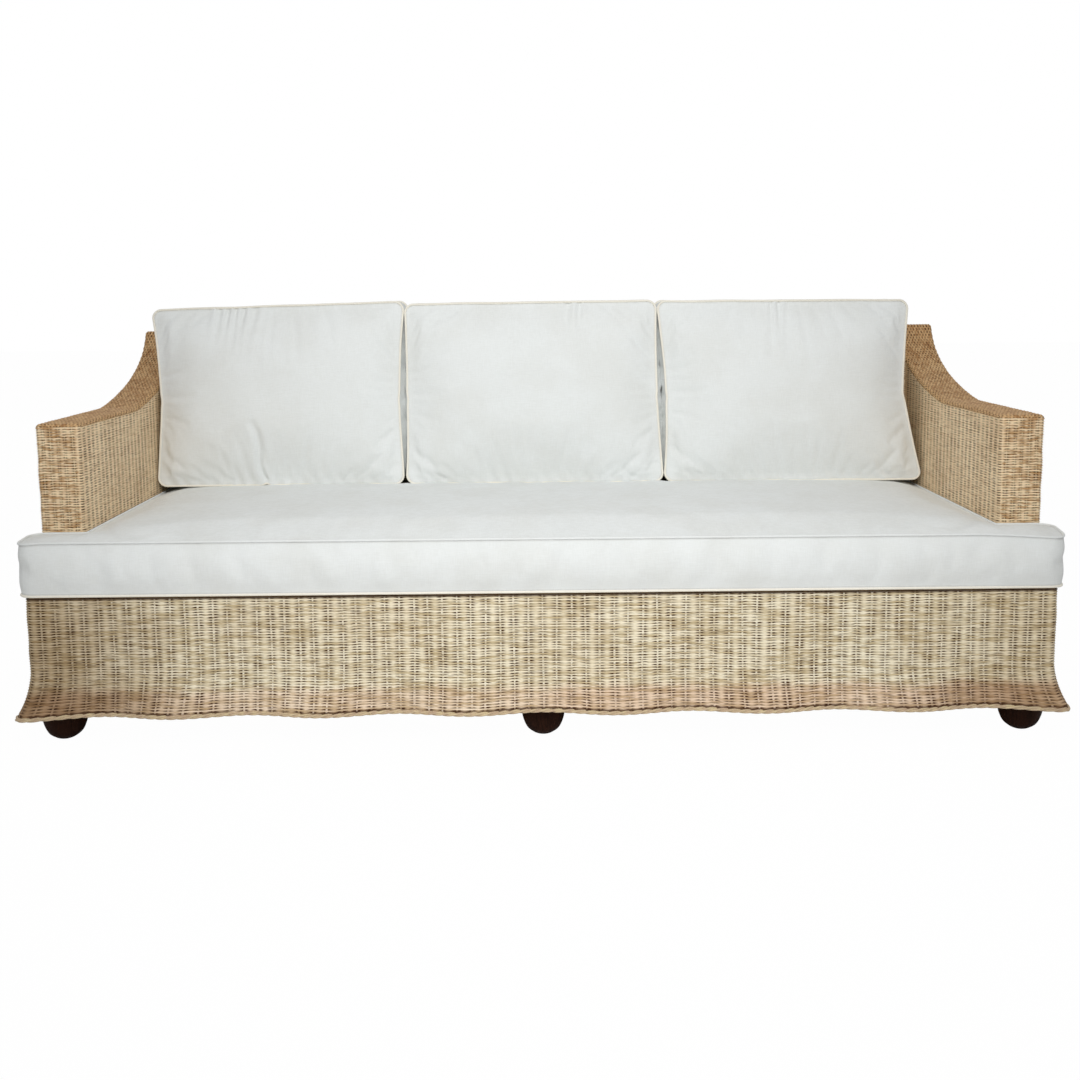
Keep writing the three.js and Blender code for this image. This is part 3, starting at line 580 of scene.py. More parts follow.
def canvas_group():
    """A fine plain cloth on object places, with faint slubs."""
    takes = {"Place": "vector", "Color": "colour", "Thread": "value"}
    tree, w, given, result = new_group("Canvas", takes, {"Color": "colour", "Height": "value"})
    turns = w.math("DIVIDE", 2 * math.pi, given["Thread"])
    waves = [w.math("SINE", w.times(axis, turns)) for axis in w.split(given["Place"])]
    slubs = [w.noise(w.scaled(given["Place"], stretch)) for stretch in SLUB_STRETCHES]
    tone = w.plus(*(w.times(slub, 0.5) for slub in slubs))
    mottle = w.noise(given["Place"], scale=9.0)
    colour = w.tint(1.0, given["Color"], w.mix(w.rise(tone, (0.35, 0.65)), WHITE, SLUB_TINT))
    colour = w.tint(1.0, colour, w.mix(w.rise(mottle, (0.35, 0.7)), WHITE, MOTTLE_TINT))
    w.put(result["Color"], colour)
    height = w.plus(w.times(w.plus(*waves), THREAD_RELIEF), w.times(tone, SLUB_RELIEF))
    w.put(result["Height"], height)
    return tree


# Stretches and tones of the wood's grain
FIGURE_STRETCH, PORE_STRETCH = (1.4, 22.0, 22.0), (14.0, 420.0, 420.0)
RING_COUNT = 46.0
TIMBER_DULL, FOOT_DULL = 0.62, 0.5
RING_DARKNESS, PORE_DARKNESS, LINE_ROUGHNESS = 0.65, 0.35, 0.12


def grain_group():
    """Wood grain along X of the place that it is given."""
    takes = {"Place": "vector", "Color": "colour", "Line": "colour"}
    tree, w, given, result = new_group("Grain", takes, {"Color": "colour", "Height": "value"})
    figure = w.noise(w.scaled(given["Place"], FIGURE_STRETCH), detail=5.0, roughness=0.6)
    rings = w.math("SINE", w.times(figure, RING_COUNT))
    pores = w.noise(w.scaled(given["Place"], PORE_STRETCH))
    line = w.plus(
        w.rise(rings, (0.1, 1.0), (0.0, RING_DARKNESS)),
        w.rise(pores, (0.55, 0.75), (0.0, PORE_DARKNESS)))
    w.put(result["Color"], w.mix(line, given["Color"], given["Line"]))
    w.put(result["Height"], w.left(line))
    return tree


def group_named(name, maker):
    """A node group, made the first time that it is asked for."""
    return bpy.data.node_groups.get(name) or maker()


def inner_side(w):
    """One on the arms' inner faces and nothing elsewhere."""
    x, _, z = w.split(w.object_place())
    off = w.math("ABSOLUTE", x)
    near = w.fall(off, (ARM_INNER + INNER_FACE / 2, ARM_INNER + INNER_FACE))
    far = w.rise(off, (ARM_INNER - INNER_FACE, ARM_INNER - INNER_FACE / 2))
    return w.times(near, far, w.math("GREATER_THAN", z, SHELL_BOTTOM))


def weave_material(name, reed, shade, stake, gap, depth=0.95, twine=0.0):
    """Woven rattan; depth is how dark the gaps beside the stakes are, and twine is 1 where
    the reeds pass every stake alike."""
    material, w, shader = new_material(name, Specular_IOR_Level=0.25)
    # depth sets how dark the painted shade in the holes beside the stakes is
    cloth = w.group(
        group_named("Plain weave", plain_weave_group), Weave=w.woven_place(),
        Reed=reed, Shade=shade, Stake=stake, Gap=gap, Open=depth, Slant=inner_side(w), Twine=twine)
    colour = w.group(
        group_named("Weathering", weathering_group),
        Color=cloth["Color"], Place=w.object_place(), Scale=5.0, Amount=0.7)["Color"]
    w.put(shader["Base Color"], colour)
    w.put(shader["Roughness"], cloth["Roughness"])
    w.put(shader["Normal"], w.bump(cloth["Height"], distance=0.9 * MM, strength=0.7))
    return material, w, shader, colour


# Tones of the skirt's rattan, and the heights, widths and reeds over which they end
PINK, PINK_TOP = (0.93, 0.80, 0.78), (115 * MM, 145 * MM)
RAGGED_RISE, RAGGED_DRIFT = 30 * MM, 200 * MM
PATCHY_SPAN, PATCHY_SHARES = (0.35, 0.6), (0.7, 1.0)
END_BROWN, END_SPAN = (0.72, 0.65, 0.58), (650 * MM, 1050 * MM)
LEFT_BROWN, LEFT_SPAN, LEFT_SHARE = (0.55, 0.45, 0.35), (-1100 * MM, -700 * MM), 0.85
RIGHT_BROWN, RIGHT_SPAN, RIGHT_SHARE = (0.86, 0.79, 0.70), (750 * MM, 1100 * MM), 0.7
# The foot's tint is painted shade above the braid, and the shadow's is a painted shadow of the seat
# cushion under the top edge.
FOOT_SHADE_REEDS, FOOT_SHADE_SHARE, FOOT_SHADE_SPAN = (0.5, 1.6), 0.85, (0.4, 0.5)
SHADOW_SPAN, SHADOW_SHARE = (SKIRT_TOP - 5 * MM, SKIRT_TOP - 1 * MM), 0.8


def skirt_material(weave):
    """The skirt's rattan: pinker above the hem, browner at its ends, with painted shade at its foot
    and top.
    """
    material, w, shader, colour = weave_material(
        "skirt_rattan", weave.skirt_reed, weave.skirt_shade, weave.stake, weave.gap,
        depth=1.25, twine=0.7)
    place = w.object_place()
    x, _, z = w.split(place)
    ragged = w.math("SUBTRACT", w.noise(place, scale=14.0, detail=3.0), 0.5)
    band = w.fall(w.plus(z, w.times(ragged, RAGGED_RISE)), PINK_TOP)
    patch = w.rise(w.noise(place, scale=3.0), PATCHY_SPAN, PATCHY_SHARES)
    drift = w.plus(x, w.times(ragged, RAGGED_DRIFT))
    colour = w.tint(w.times(band, patch), colour, PINK)
    colour = w.tint(w.times(band, w.rise(w.math("ABSOLUTE", x), END_SPAN)), colour, END_BROWN)
    colour = w.tint(w.fall(drift, LEFT_SPAN, LEFT_SHARE), colour, LEFT_BROWN)
    colour = w.tint(w.rise(drift, RIGHT_SPAN, (0.0, RIGHT_SHARE)), colour, RIGHT_BROWN)
    reeds = w.split(w.woven_place())[1]
    # Painted shade along the lowest reeds, above the braid, in patches.
    gaps = w.rise(w.noise(place, scale=6.0, detail=1.0), FOOT_SHADE_SPAN)
    foot = w.times(w.fall(reeds, FOOT_SHADE_REEDS, FOOT_SHADE_SHARE), gaps)
    # Painted shadow of the seat cushion along the skirt's top edge.
    under = w.rise(z, SHADOW_SPAN, (0.0, SHADOW_SHARE))
    w.put(shader["Base Color"], w.mix(w.math("MAXIMUM", foot, under), colour, weave.gap))
    return material


def braid_material(weave):
    """Long pale strands laid round the hem."""
    material, w, shader = new_material("braided_reed", Specular_IOR_Level=0.3)
    u, v, _ = w.split(w.woven_place())
    strand = w.map_noise(u, v, across=0.6, along=3.0, detail=3.0)
    fibre = w.map_noise(u, v, across=2.0, along=40.0)
    colour = w.mix(w.rise(strand, (0.35, 0.68)), weave.braid, weave.skirt_shade)
    w.put(shader["Base Color"], w.mix(w.rise(fibre, (0.5, 0.8), (0.0, 0.3)), colour, weave.gap))
    w.put(shader["Roughness"], w.rise(fibre, (0.3, 0.8), (0.55, 0.75)))
    w.put(shader["Normal"], w.bump(fibre, distance=0.4 * MM, strength=0.6))
    return material


# Tint of the painted shade in the groove beside a seam, and the millimetres over which it ends
GROOVE_SHADE_TINT = (0.45, 0.44, 0.42)
GROOVE_SPAN = (2.0, 8.0)


def cloth_material(name, colour, shade=0.0):
    """Washed outdoor canvas; shade darkens the groove beside its seams, whose distance is
    in millimetres."""
    material, w, shader = new_material(
        name, Sheen_Weight=0.12, Sheen_Roughness=0.5, Specular_IOR_Level=0.2, Roughness=0.92)
    cloth = w.group(
        group_named("Canvas", canvas_group), Place=w.object_place(), Color=colour, Thread=THREAD)
    tint = cloth["Color"]
    # Painted shade in the groove beside the seams.
    if shade:
        seam = w.add("ShaderNodeAttribute", attribute_name="seam_distance").outputs["Fac"]
        tint = w.mix(w.fall(seam, GROOVE_SPAN, shade), tint, GROOVE_SHADE_TINT)
    w.put(shader["Base Color"], tint)
    w.put(shader["Normal"], w.bump(cloth["Height"], distance=0.25 * MM, strength=0.5))
    return material


def wood_material(name, colour, line, axis, roughness, gloss=0.3):
    """Wood whose grain runs along an axis."""
    material, w, shader = new_material(name, Specular_IOR_Level=gloss)
    x, y, z = w.split(w.object_place())
    along = {"x": (x, y, z), "y": (y, x, z), "z": (z, x, y)}[axis]
    wood = w.group(group_named("Grain", grain_group), Place=w.joined(*along), Color=colour, Line=line)
    w.put(shader["Base Color"], wood["Color"])
    dull = roughness + LINE_ROUGHNESS
    w.put(shader["Roughness"], w.rise(wood["Height"], (0.0, 1.0), (dull, roughness)))
    w.put(shader["Normal"], w.bump(wood["Height"], distance=0.3 * MM, strength=0.4))
    return material


# Meshes

def linked(name, data):
    """An object of the scene with some data."""
    item = bpy.data.objects.new(name, data)
    bpy.context.scene.collection.objects.link(item)
    return item


def finish_piece(name, mesh, material, body, slot, *nodes):
    """Puts a mesh in the scene as a piece of a body, in place of CAD nodes."""
    piece = linked(name, mesh)
    mesh.materials.clear()
    mesh.materials.append(material)
    mesh.shade_smooth()
    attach(piece, body)
    if nodes:
        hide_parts(*nodes)
    return piece


def mesh_of(shape, name):
    """The mesh of a finished bmesh."""
    mesh = bpy.data.meshes.new(name)
    shape.to_mesh(mesh)
    shape.free()
    return mesh


def points_of(mesh):
    """The vertices of a mesh as rows."""
    flat = np.empty(len(mesh.vertices) * 3, np.float32)
    mesh.vertices.foreach_get("co", flat)
    return flat.reshape(-1, 3).astype(float)


def set_points(mesh, points):
    """Moves the vertices of a mesh."""
    mesh.vertices.foreach_set("co", np.asarray(points, np.float32).ravel())
    mesh.update()


def unit(rows):
    """Directions of length one."""
    return rows / np.linalg.norm(rows, axis=1)[:, None]


def lengths_along(points):
    """The length of a line up to each of its points."""
    return np.append(0, np.cumsum(np.linalg.norm(np.diff(points, axis=0), axis=1)))


def ramp(value, start, end):
    """Rises straight from 0 at the start to 1 at the end."""
    return np.clip((value - start) / (end - start), 0, 1)


class Line:
    """A line through points of a plane, read by the length along it."""

    def __init__(self, points):
        self.points = np.asarray(points, float)
        self.reach = lengths_along(self.points)
        self.length = self.reach[-1]
        slopes = np.gradient(self.points, self.reach, axis=0)
        self.left = np.column_stack([-slopes[:, 1], slopes[:, 0]])

    def at(self, reach):
        return [np.interp(reach, self.reach, column) for column in self.points.T]

    def side(self, reach):
        """The direction to the left of the line."""
        first, second = [np.interp(reach, self.reach, column) for column in self.left.T]
        size = np.hypot(first, second)
        return first / size, second / size


def curve(*controls, count=16):
    """Points of a Bezier curve after its start."""
    t = np.linspace(0, 1, count + 1)[1:, None]
    last = len(controls) - 1
    return sum(
        math.comb(last, i) * t ** i * (1 - t) ** (last - i) * np.asarray(control, float)
        for i, control in enumerate(controls))


def relief(u, v, twined=False):
    """How far the weave stands out at a place counted in stakes and reeds, with slow waves
    of unlike lengths over it."""
    stake, reed = np.round(u), np.round(v)
    phase = reed if twined else stake + reed
    off = np.abs(u - stake)
    over, under = (np.interp(off, OFFSETS, heights) for heights in (OVER, UNDER))
    woven = np.where(phase % 2 == 0, over, under)
    slow = 0.5 * np.sin(0.9 * u + 2 * np.sin(0.13 * v)) + 0.5 * np.sin(0.21 * v + 0.37 * u)
    return (woven + UNEVENNESS * slow) * MM


def wander(u, v):
    """Sideways drift of a stake as it rises, in metres."""
    return WANDER * (np.sin(2.3 * u + 0.03 * v) + 0.6 * np.sin(5.1 * u - 0.06 * v))


def grid_mesh(name, columns, rows, place):
    """A grid bent into shape: place(column, row) gives its points and the u and v of its
    map. Edges that meet are welded, and ends that stay open are closed."""
    grid = bmesh.new()
    bmesh.ops.create_grid(grid, x_segments=columns, y_segments=rows, size=1)
    mesh = bpy.data.meshes.new(name)
    grid.to_mesh(mesh)
    across, up, _ = (points_of(mesh).T + 1) / 2
    points, u, v = place(np.rint(across * columns).astype(int), np.rint(up * rows).astype(int))
    set_points(mesh, points)
    corner = np.empty(len(mesh.loops), np.int32)
    mesh.loops.foreach_get("vertex_index", corner)
    layer = mesh.uv_layers.new(name="weave")
    layer.data.foreach_set("uv", np.column_stack([u, v])[corner].astype(np.float32).ravel())
    grid.clear()
    grid.from_mesh(mesh)
    bmesh.ops.remove_doubles(grid, verts=grid.verts, dist=WELD)
    rims = [edge for edge in grid.edges if edge.is_boundary]
    if rims:
        bmesh.ops.holes_fill(grid, edges=rims, sides=0)
    bmesh.ops.recalc_face_normals(grid, faces=grid.faces)
    grid.to_mesh(mesh)
    grid.free()
    return mesh


def woven_mesh(name, stakes, rows, place):
    """A closed woven sheet, its grid across the stakes and round its section; place(u, row)
    gives the points and the reed count of the map."""
    counts = np.append(np.add.outer(np.arange(stakes), COLUMN_STEPS).ravel(), stakes)

    def mapped(column, row):
        u = counts[column]
        points, v = place(u, row)
        return points, u, v

    return grid_mesh(name, stakes * len(COLUMN_STEPS), rows, mapped)


def section_row(row, reeds, inner):
    """Reads a row round a sheet's section: its number, whether it is outside, and its share
    of the way, which goes up to 1 outside and then follows the inner shares."""
    first = row % (reeds + len(inner) + 1)
    outside = first <= reeds
    back = inner[np.clip(first - reeds - 1, 0, len(inner) - 1)]
    return first, outside, np.where(outside, first / reeds, back)


# Skirt

def drop_at(z):
    """How far a height lies below the skirt's bend, 1 at the lowest point of the hem."""
    return np.maximum(0, (SKIRT_BEND - z) / (SKIRT_BEND - HEM_LOW))


def flare(turn, share, z):
    """Distance out of the body's face, at a share along the side and a height."""
    drop = drop_at(z)
    kick = CORNER_KICK * np.abs(share) ** KICK_POWERS[turn % 2] * drop ** 3
    waved = SKIRT_FLARE - SKIRT_WAVE * np.cos(WAVES[turn % 2] * np.pi * share)
    return waved * drop ** FLARE_POWER + kick


def hem_lift(turn, share):
    """How far the hem rises at a share along the side."""
    return HEM_RISE * (1 + np.cos(WAVES[turn % 2] * np.pi * share)) / 2


def side_point(turn, share, z, out, drift=0.0):
    """A point of one side of the skirt, its corners rounded; turn 0 is the front."""
    half, face = HALVES[turn % 2], HALVES[1 - turn % 2]
    step = flare(turn, share, z)
    corner = CORNER_ROUND + HEM_CORNER * drop_at(z) ** 2
    bow = corner * math.pi / 4
    bend = bow / (half - corner + bow)
    level = np.minimum(np.abs(share) / (1 - bend), 1)
    angle = np.maximum(np.abs(share) - 1 + bend, 0) / bend * math.pi / 4
    run = half + step - corner
    reach = corner + out
    along = np.sign(share) * (level * run + reach * np.sin(angle)) + drift * (1 - level ** CALM_POWER)
    depth = face + step - corner + reach * np.cos(angle)
    x, y = [(along, -depth), (depth, along), (-along, depth), (-depth, -along)][turn]
    return np.column_stack([x, y, z])


def skirt_mesh(name, turn, weave):
    """One woven side of the skirt, from its hem to the top."""
    stakes = 2 * round((HALVES[turn % 2] + SKIRT_FLARE) / weave.stake_pitch)
    low = HEM_LOW + 2 * BRAID_RADIUS + JOINT_GAP
    reeds = round((SKIRT_TOP - low) / weave.reed_pitch)

    def place(u, row):
        share = 2 * u / stakes - 1
        foot = low + hem_lift(turn, share)
        first, outside, height = section_row(row, reeds, SKIRT_INNER)
        v = np.where(outside, first, 0)
        z = foot + (SKIRT_TOP - foot) * height - np.where(height == 0, HEM_TUCK, 0)
        woven = np.where(outside, relief(u, v, True), -SKIN)
        out = np.where(height == 0, np.where(outside, -HEM_INSET, HEM_INSET - SKIN), woven)
        return side_point(turn, share, z, out, np.where(outside, wander(u, v), 0)), v

    return woven_mesh(name, stakes, reeds + len(SKIRT_INNER) + 1, place)


def swept(name, points, radius, sides):
    """A round cord along a closed line, with its map counted along and round it."""
    count = len(points)
    tangent = unit(np.roll(points, -1, axis=0) - np.roll(points, 1, axis=0))
    outward = unit(np.cross(tangent, np.eye(3)[np.argmin(np.ptp(points, axis=0))]))
    upward = np.cross(outward, tangent)
    pitch = lengths_along(points)[-1] / (count - 1)

    def place(column, row):
        at = column % count
        angle = 2 * np.pi * (row % sides) / sides
        out, up = radius * np.cos(angle)[:, None], radius * np.sin(angle)[:, None]
        along = column * pitch * SWEPT_MAP
        return points[at] + (outward[at] * out + upward[at] * up), along, row / sides

    return grid_mesh(name, count, sides, place)


def hem_line(step):
    """Points along the middle of the hem, all round, a step apart."""
    line = []
    for turn in range(4):
        count = round(2 * HALVES[turn % 2] / step)
        share = 2 * np.arange(count) / count - 1
        z = HEM_LOW + BRAID_RADIUS + hem_lift(turn, share)
        line.append(side_point(turn, share, z, np.full(count, -SKIN / 2)))
    return np.vstack(line)


def braid_meshes():
    """The strands twisted round the hem."""
    line = hem_line(BRAID_STEP)
    count = len(line)
    up = np.array([0, 0, 1.0])
    outward = np.cross(unit(np.roll(line, -1, axis=0) - np.roll(line, 1, axis=0)), up)
    turns = round(count * BRAID_STEP / BRAID_LAY)
    meshes = []
    for strand in range(STRANDS):
        angle = 2 * np.pi * (turns * np.arange(count) / count + strand / STRANDS)[:, None]
        path = line + STRAND_OFFSET * (outward * np.cos(angle) + up * np.sin(angle))
        meshes.append(swept("strand_%d" % strand, path, STRAND_RADIUS, STRAND_SIDES))
    return meshes


# Arms and back

def arm_top_line():
    """The arm top in (y, z), from its front lip to the rear face."""
    front, flat = [ARM_FRONT, ARM_TOP - ARM_LIP], [ARM_FRONT + ARM_LIP, ARM_TOP]
    start = [SWOOP_START, ARM_TOP]
    lead = [SWOOP_START + SWOOP_LEAD, ARM_TOP + SWOOP_LEAD_RISE]
    crest = [REAR_FACE - CREST_RUN, CREST_TOP - CREST_DROP]
    heel = [crest[0] - SWOOP_HEEL, crest[1] - SWOOP_HEEL_DROP]
    brow = [crest[0] + CREST_DROP * SWOOP_HEEL / SWOOP_HEEL_DROP, CREST_TOP]
    rear = [REAR_FACE, CREST_TOP - CREST_REAR_DROP]
    return Line(np.vstack([
        [front],
        curve(front, [ARM_FRONT, ARM_TOP], flat),
        curve(flat, start, count=24),
        curve(start, lead, heel, crest, count=80),
        curve(crest, brow, [REAR_FACE, CREST_TOP], rear),
    ]))


def rounded_ring(x0, x1, y0, y1, radius, count=8, step=10 * MM):
    """A rounded rectangle that starts and ends in the middle of its y1 side, anticlockwise."""
    middle = (x0 + x1) / 2
    points = [[middle, y1]]
    for x, y, start in ((x0, y1, 90), (x0, y0, 180), (x1, y0, 270), (x1, y1, 0)):
        centre = np.array([x + radius * np.sign(middle - x), y + radius * (1 if y == y0 else -1)])
        turns = np.radians(start + np.linspace(0, 90, count + 1))
        points.extend(centre + radius * np.column_stack([np.cos(turns), np.sin(turns)]))
    points.append([middle, y1])
    dense = [np.asarray(points[0])[None]]
    for start, end in zip(points[:-1], points[1:]):
        steps = max(1, round(np.linalg.norm(np.subtract(end, start)) / step))
        dense.append(curve(start, end, count=steps))
    return Line(np.vstack(dense))


def arm_wall_mesh(name, side, weave):
    """The upright faces of an arm, woven all round."""
    ring = rounded_ring(ARM_INNER, SIDE_FACE, ARM_FRONT, REAR_FACE, EDGE_ROUND)
    across, along = SIDE_FACE - ARM_INNER, REAR_FACE - ARM_FRONT
    sides = np.array([across / 2, along, across, along, across / 2])
    pitches = weave.stake_pitch * np.array(ARM_STAKE_SHARES)
    counts = np.append(0, np.cumsum(np.rint(sides / pitches)))
    reaches = np.append(0, np.cumsum(sides)) / sides.sum() * ring.length
    stakes = int(counts[-1])
    inner = [counts[1] - 1, counts[1] + 1, counts[2] - 1, counts[2]]
    top = arm_top_line()
    edge = top.points - EDGE_ROUND * unit(top.left)
    edge[:, 0] = np.maximum.accumulate(edge[:, 0])
    reeds = math.ceil((edge[:, 1].max() - SHELL_BOTTOM) / weave.reed_pitch)
    rows = reeds + 1 + len(ARM_TURN_IN)

    def place(u, row):
        reach = np.interp(u, counts, reaches)
        x, y = ring.at(reach)
        left = ring.side(reach)
        lip = np.interp(y, edge[:, 0], edge[:, 1])
        first = row % rows
        z = np.minimum(SHELL_BOTTOM + first * weave.reed_pitch, lip)
        v = (z - SHELL_BOTTOM) / weave.reed_pitch
        calm = np.interp(u, inner, [1, INNER_CALM, INNER_CALM, 1])
        met = u % stakes
        out = np.where(z < lip - ARM_LIP_EDGE, calm * relief(met, v, True), 0.0)
        for step, (height, rise, inset) in enumerate(ARM_TURN_IN):
            here = first == reeds + 1 + step
            z = np.where(here, SHELL_BOTTOM + (lip - SHELL_BOTTOM) * height + rise, z)
            out = np.where(here, inset, out)
        drift = np.where(first <= reeds, wander(met, v), 0)
        x, y = x - left[0] * out, y - left[1] * out
        x, y = x + left[1] * drift, y - left[0] * drift
        return np.column_stack([side * x, y, z]), v

    return woven_mesh(name, stakes, rows, place)


def arm_cap_mesh(name, side, weave):
    """The top of an arm: reeds along its sweep, turned down over its edges."""
    top = arm_top_line()
    stakes = 2 * round(top.length / weave.top_stake_pitch / 2)
    flat = (SIDE_FACE - ARM_INNER) / 2 - EDGE_ROUND
    bow = EDGE_ROUND * math.pi / 2
    half = flat + bow
    reeds = 2 * round(half / weave.top_reed_pitch)
    middle = (SIDE_FACE + ARM_INNER) / 2

    def place(u, row):
        first, outside, share = section_row(row, reeds, CAP_UNDER)
        across = (2 * share - 1) * half
        angle = np.maximum(np.abs(across) - flat, 0) / bow * math.pi / 2
        bent = EDGE_ROUND + np.where(outside, CAP_CALM * relief(u, first), -CAP_THICKNESS)
        reach = u / stakes * top.length
        y, z = top.at(reach)
        ny, nz = top.side(reach)
        x = np.sign(across) * (np.minimum(np.abs(across), flat) + bent * np.sin(angle))
        lift = bent * np.cos(angle) - EDGE_ROUND
        y, z = y + ny * lift, z + nz * lift
        near = np.clip(ARM_FRONT + EDGE_ROUND - y, 0, EDGE_ROUND)
        drawn_in = EDGE_ROUND - np.sqrt(EDGE_ROUND ** 2 - near ** 2)
        x = x * (1 - drawn_in / (flat + EDGE_ROUND))
        return np.column_stack([side * (middle + x), y, z]), first

    return woven_mesh(name, stakes, reeds + len(CAP_UNDER) + 1, place)


def back_inner(z):
    """The inner face of the woven back at a height."""
    share = (BACK_TOP - z) / (BACK_TOP - SHELL_BOTTOM)
    return REAR_FACE - BACK_THICKNESS - BACK_SPREAD * share


def back_line():
    """The back's section in (y, z): up the rear, over the top and down the front."""
    inner = back_inner(CREST_TOP)
    lip = CREST_TOP - CORNER_ROUND
    return Line(np.vstack([
        [[REAR_FACE, SHELL_BOTTOM]],
        curve([REAR_FACE, SHELL_BOTTOM], [REAR_FACE, lip], count=24),
        curve([REAR_FACE, lip], [REAR_FACE, CREST_TOP], [REAR_FACE - CORNER_ROUND, CREST_TOP]),
        curve([REAR_FACE - CORNER_ROUND, CREST_TOP], [inner + CORNER_ROUND, CREST_TOP], count=8),
        curve([inner + CORNER_ROUND, CREST_TOP], [inner, CREST_TOP], [back_inner(lip), lip]),
        curve([back_inner(lip), lip], [back_inner(SHELL_BOTTOM), SHELL_BOTTOM], count=24),
    ]))


def back_mesh(name, start, end, weave):
    """Part of the woven back, between two lengths along its section."""
    line = back_line()
    half = ARM_INNER - JOINT_GAP
    stakes = 2 * round(half / weave.stake_pitch)
    reeds = round((end - start) / weave.reed_pitch)
    first_reed = round(start / weave.reed_pitch)

    def place(u, row):
        _, outside, share = section_row(row, reeds, BACK_INNER)
        reach = start + (end - start) * share
        v = first_reed + share * reeds
        y, z = line.at(reach)
        ly, lz = line.side(reach)
        out = np.where(outside, relief(u, v), -SKIN)
        across = 2 * u / stakes - 1
        x = across * half + np.where(outside, wander(u, v), 0) * (1 - across ** CALM_POWER)
        return np.column_stack([x, y - ly * out, z - lz * out]), v

    return woven_mesh(name, stakes, reeds + len(BACK_INNER) + 1, place)


def back_end_mesh(name, side, weave):
    """The wall that closes one end of the back."""
    line = back_line()
    wall = bmesh.new()
    verts = [
        wall.verts.new((side * (ARM_INNER - JOINT_GAP), y, z))
        for y, z in line.points + (SKIN + JOINT_GAP) * unit(line.left)]
    made = bmesh.ops.extrude_face_region(wall, geom=[wall.faces.new(verts)])["geom"]
    moved = [item for item in made if isinstance(item, bmesh.types.BMVert)]
    bmesh.ops.translate(wall, verts=moved, vec=(-side * SKIN, 0, 0))
    bmesh.ops.recalc_face_normals(wall, faces=wall.faces)
    layer = wall.loops.layers.uv.new("weave")
    for face in wall.faces:
        for loop in face.loops:
            _, y, z = loop.vert.co
            loop[layer].uv = (y / weave.stake_pitch, z / weave.reed_pitch)
    return mesh_of(wall, name)


# Feet

def foot_mesh(name, x, y):
    """A bun foot turned about its own axis, with its spigot. Its outline is a smooth curve
    through the knots, by the Catmull-Rom formula."""
    ends = np.vstack([BUN_KNOTS[0], BUN_KNOTS, BUN_KNOTS[-1]])
    profile = [[0, 0]]
    for before, start, end, after in zip(ends, ends[1:], ends[2:], ends[3:]):
        for t in np.arange(KNOT_STEPS) / KNOT_STEPS:
            profile.append(0.5 * (
                2 * start + (end - before) * t + (2 * before - 5 * start + 4 * end - after) * t ** 2
                + (3 * start - before - 3 * end + after) * t ** 3))
    top = BUN_KNOTS[-1]
    profile += [top, [SPIGOT_RADIUS, top[1]], [SPIGOT_RADIUS, SPIGOT_TOP], [0, SPIGOT_TOP]]
    lathe = bmesh.new()
    verts = [lathe.verts.new((radius, 0, height)) for radius, height in profile]
    edges = [lathe.edges.new(pair) for pair in zip(verts, verts[1:])]
    bmesh.ops.spin(
        lathe, geom=verts + edges, axis=(0, 0, 1), cent=(0, 0, 0), steps=FOOT_STEPS,
        angle=2 * math.pi, use_merge=True, use_duplicate=False)
    bmesh.ops.remove_doubles(lathe, verts=lathe.verts, dist=WELD)
    bmesh.ops.recalc_face_normals(lathe, faces=lathe.faces)
    bmesh.ops.translate(lathe, verts=lathe.verts, vec=(x, y, 0))
    return mesh_of(lathe, name)


# Cushions

def even_line(points, step):
    """Points a step apart along a closed line in space."""
    closed = np.vstack([points, points[:1]])
    run = lengths_along(closed)
    count = round(run[-1] / step)
    reach = np.arange(count) * run[-1] / count
    return np.column_stack([np.interp(reach, run, column) for column in closed.T])


def bowed_outline(width, height, radius, waist):
    """A rounded rectangle in a plane whose upright sides draw in."""
    points = []
    share = np.linspace(0, 1, SIDE_STEPS + 1)[1:-1]
    level, upright = width / 2 - radius, height / 2 - radius
    for quarter, (right, up) in enumerate(((1, 1), (-1, 1), (-1, -1), (1, -1))):
        turns = (quarter + np.linspace(0, 1, CORNER_STEPS + 1)) * math.pi / 2
        corner = radius * np.column_stack([np.cos(turns), np.sin(turns)])
        points.append(np.array([right * level, up * upright]) + corner)
        if quarter in (1, 3):
            x = right * (width / 2 - waist * np.sin(math.pi * share))
            z = up * upright * (1 - 2 * share)
        else:
            x = right * level * (1 - 2 * share)
            z = np.full(len(share), up * height / 2)
        points.append(np.column_stack([x, z]))
    return np.vstack(points)


def seat_outline(inset):
    """The T-shaped seam of the seat cushion in plan, anticlockwise from the right ear."""
    radius = SEAT_CORNER - inset
    turns = np.linspace(0, 1, SEAT_CORNER_STEPS + 1) * math.pi / 2

    def corner(x, y, quarter):
        angle = turns + quarter * math.pi / 2
        return np.column_stack([x + radius * np.cos(angle), y + radius * np.sin(angle)])

    rear = back_inner(SEAT_SEAM_LOW) - SEAT_CLEARANCE
    ear, half, step = EAR_HALF - SEAT_CORNER, SEAT_HALF - SEAT_CORNER, SEAT_CORNER
    return np.vstack([
        corner(ear, EAR_REAR - step, 0),
        [[SEAT_HALF - inset, EAR_REAR - inset]],
        corner(half, rear - step, 0),
        corner(-half, rear - step, 1),
        [[inset - SEAT_HALF, EAR_REAR - inset]],
        corner(-ear, EAR_REAR - step, 1),
        corner(-ear, SEAT_CUSHION_FRONT + step, 2),
        corner(ear, SEAT_CUSHION_FRONT + step, 3),
    ])


def applied(draft, name):
    """The mesh of a draft with its modifiers applied; the draft is removed."""
    graph = bpy.context.evaluated_depsgraph_get()
    mesh = bpy.data.meshes.new_from_object(draft.evaluated_get(graph))
    mesh.name = name
    bpy.data.objects.remove(draft)
    return mesh


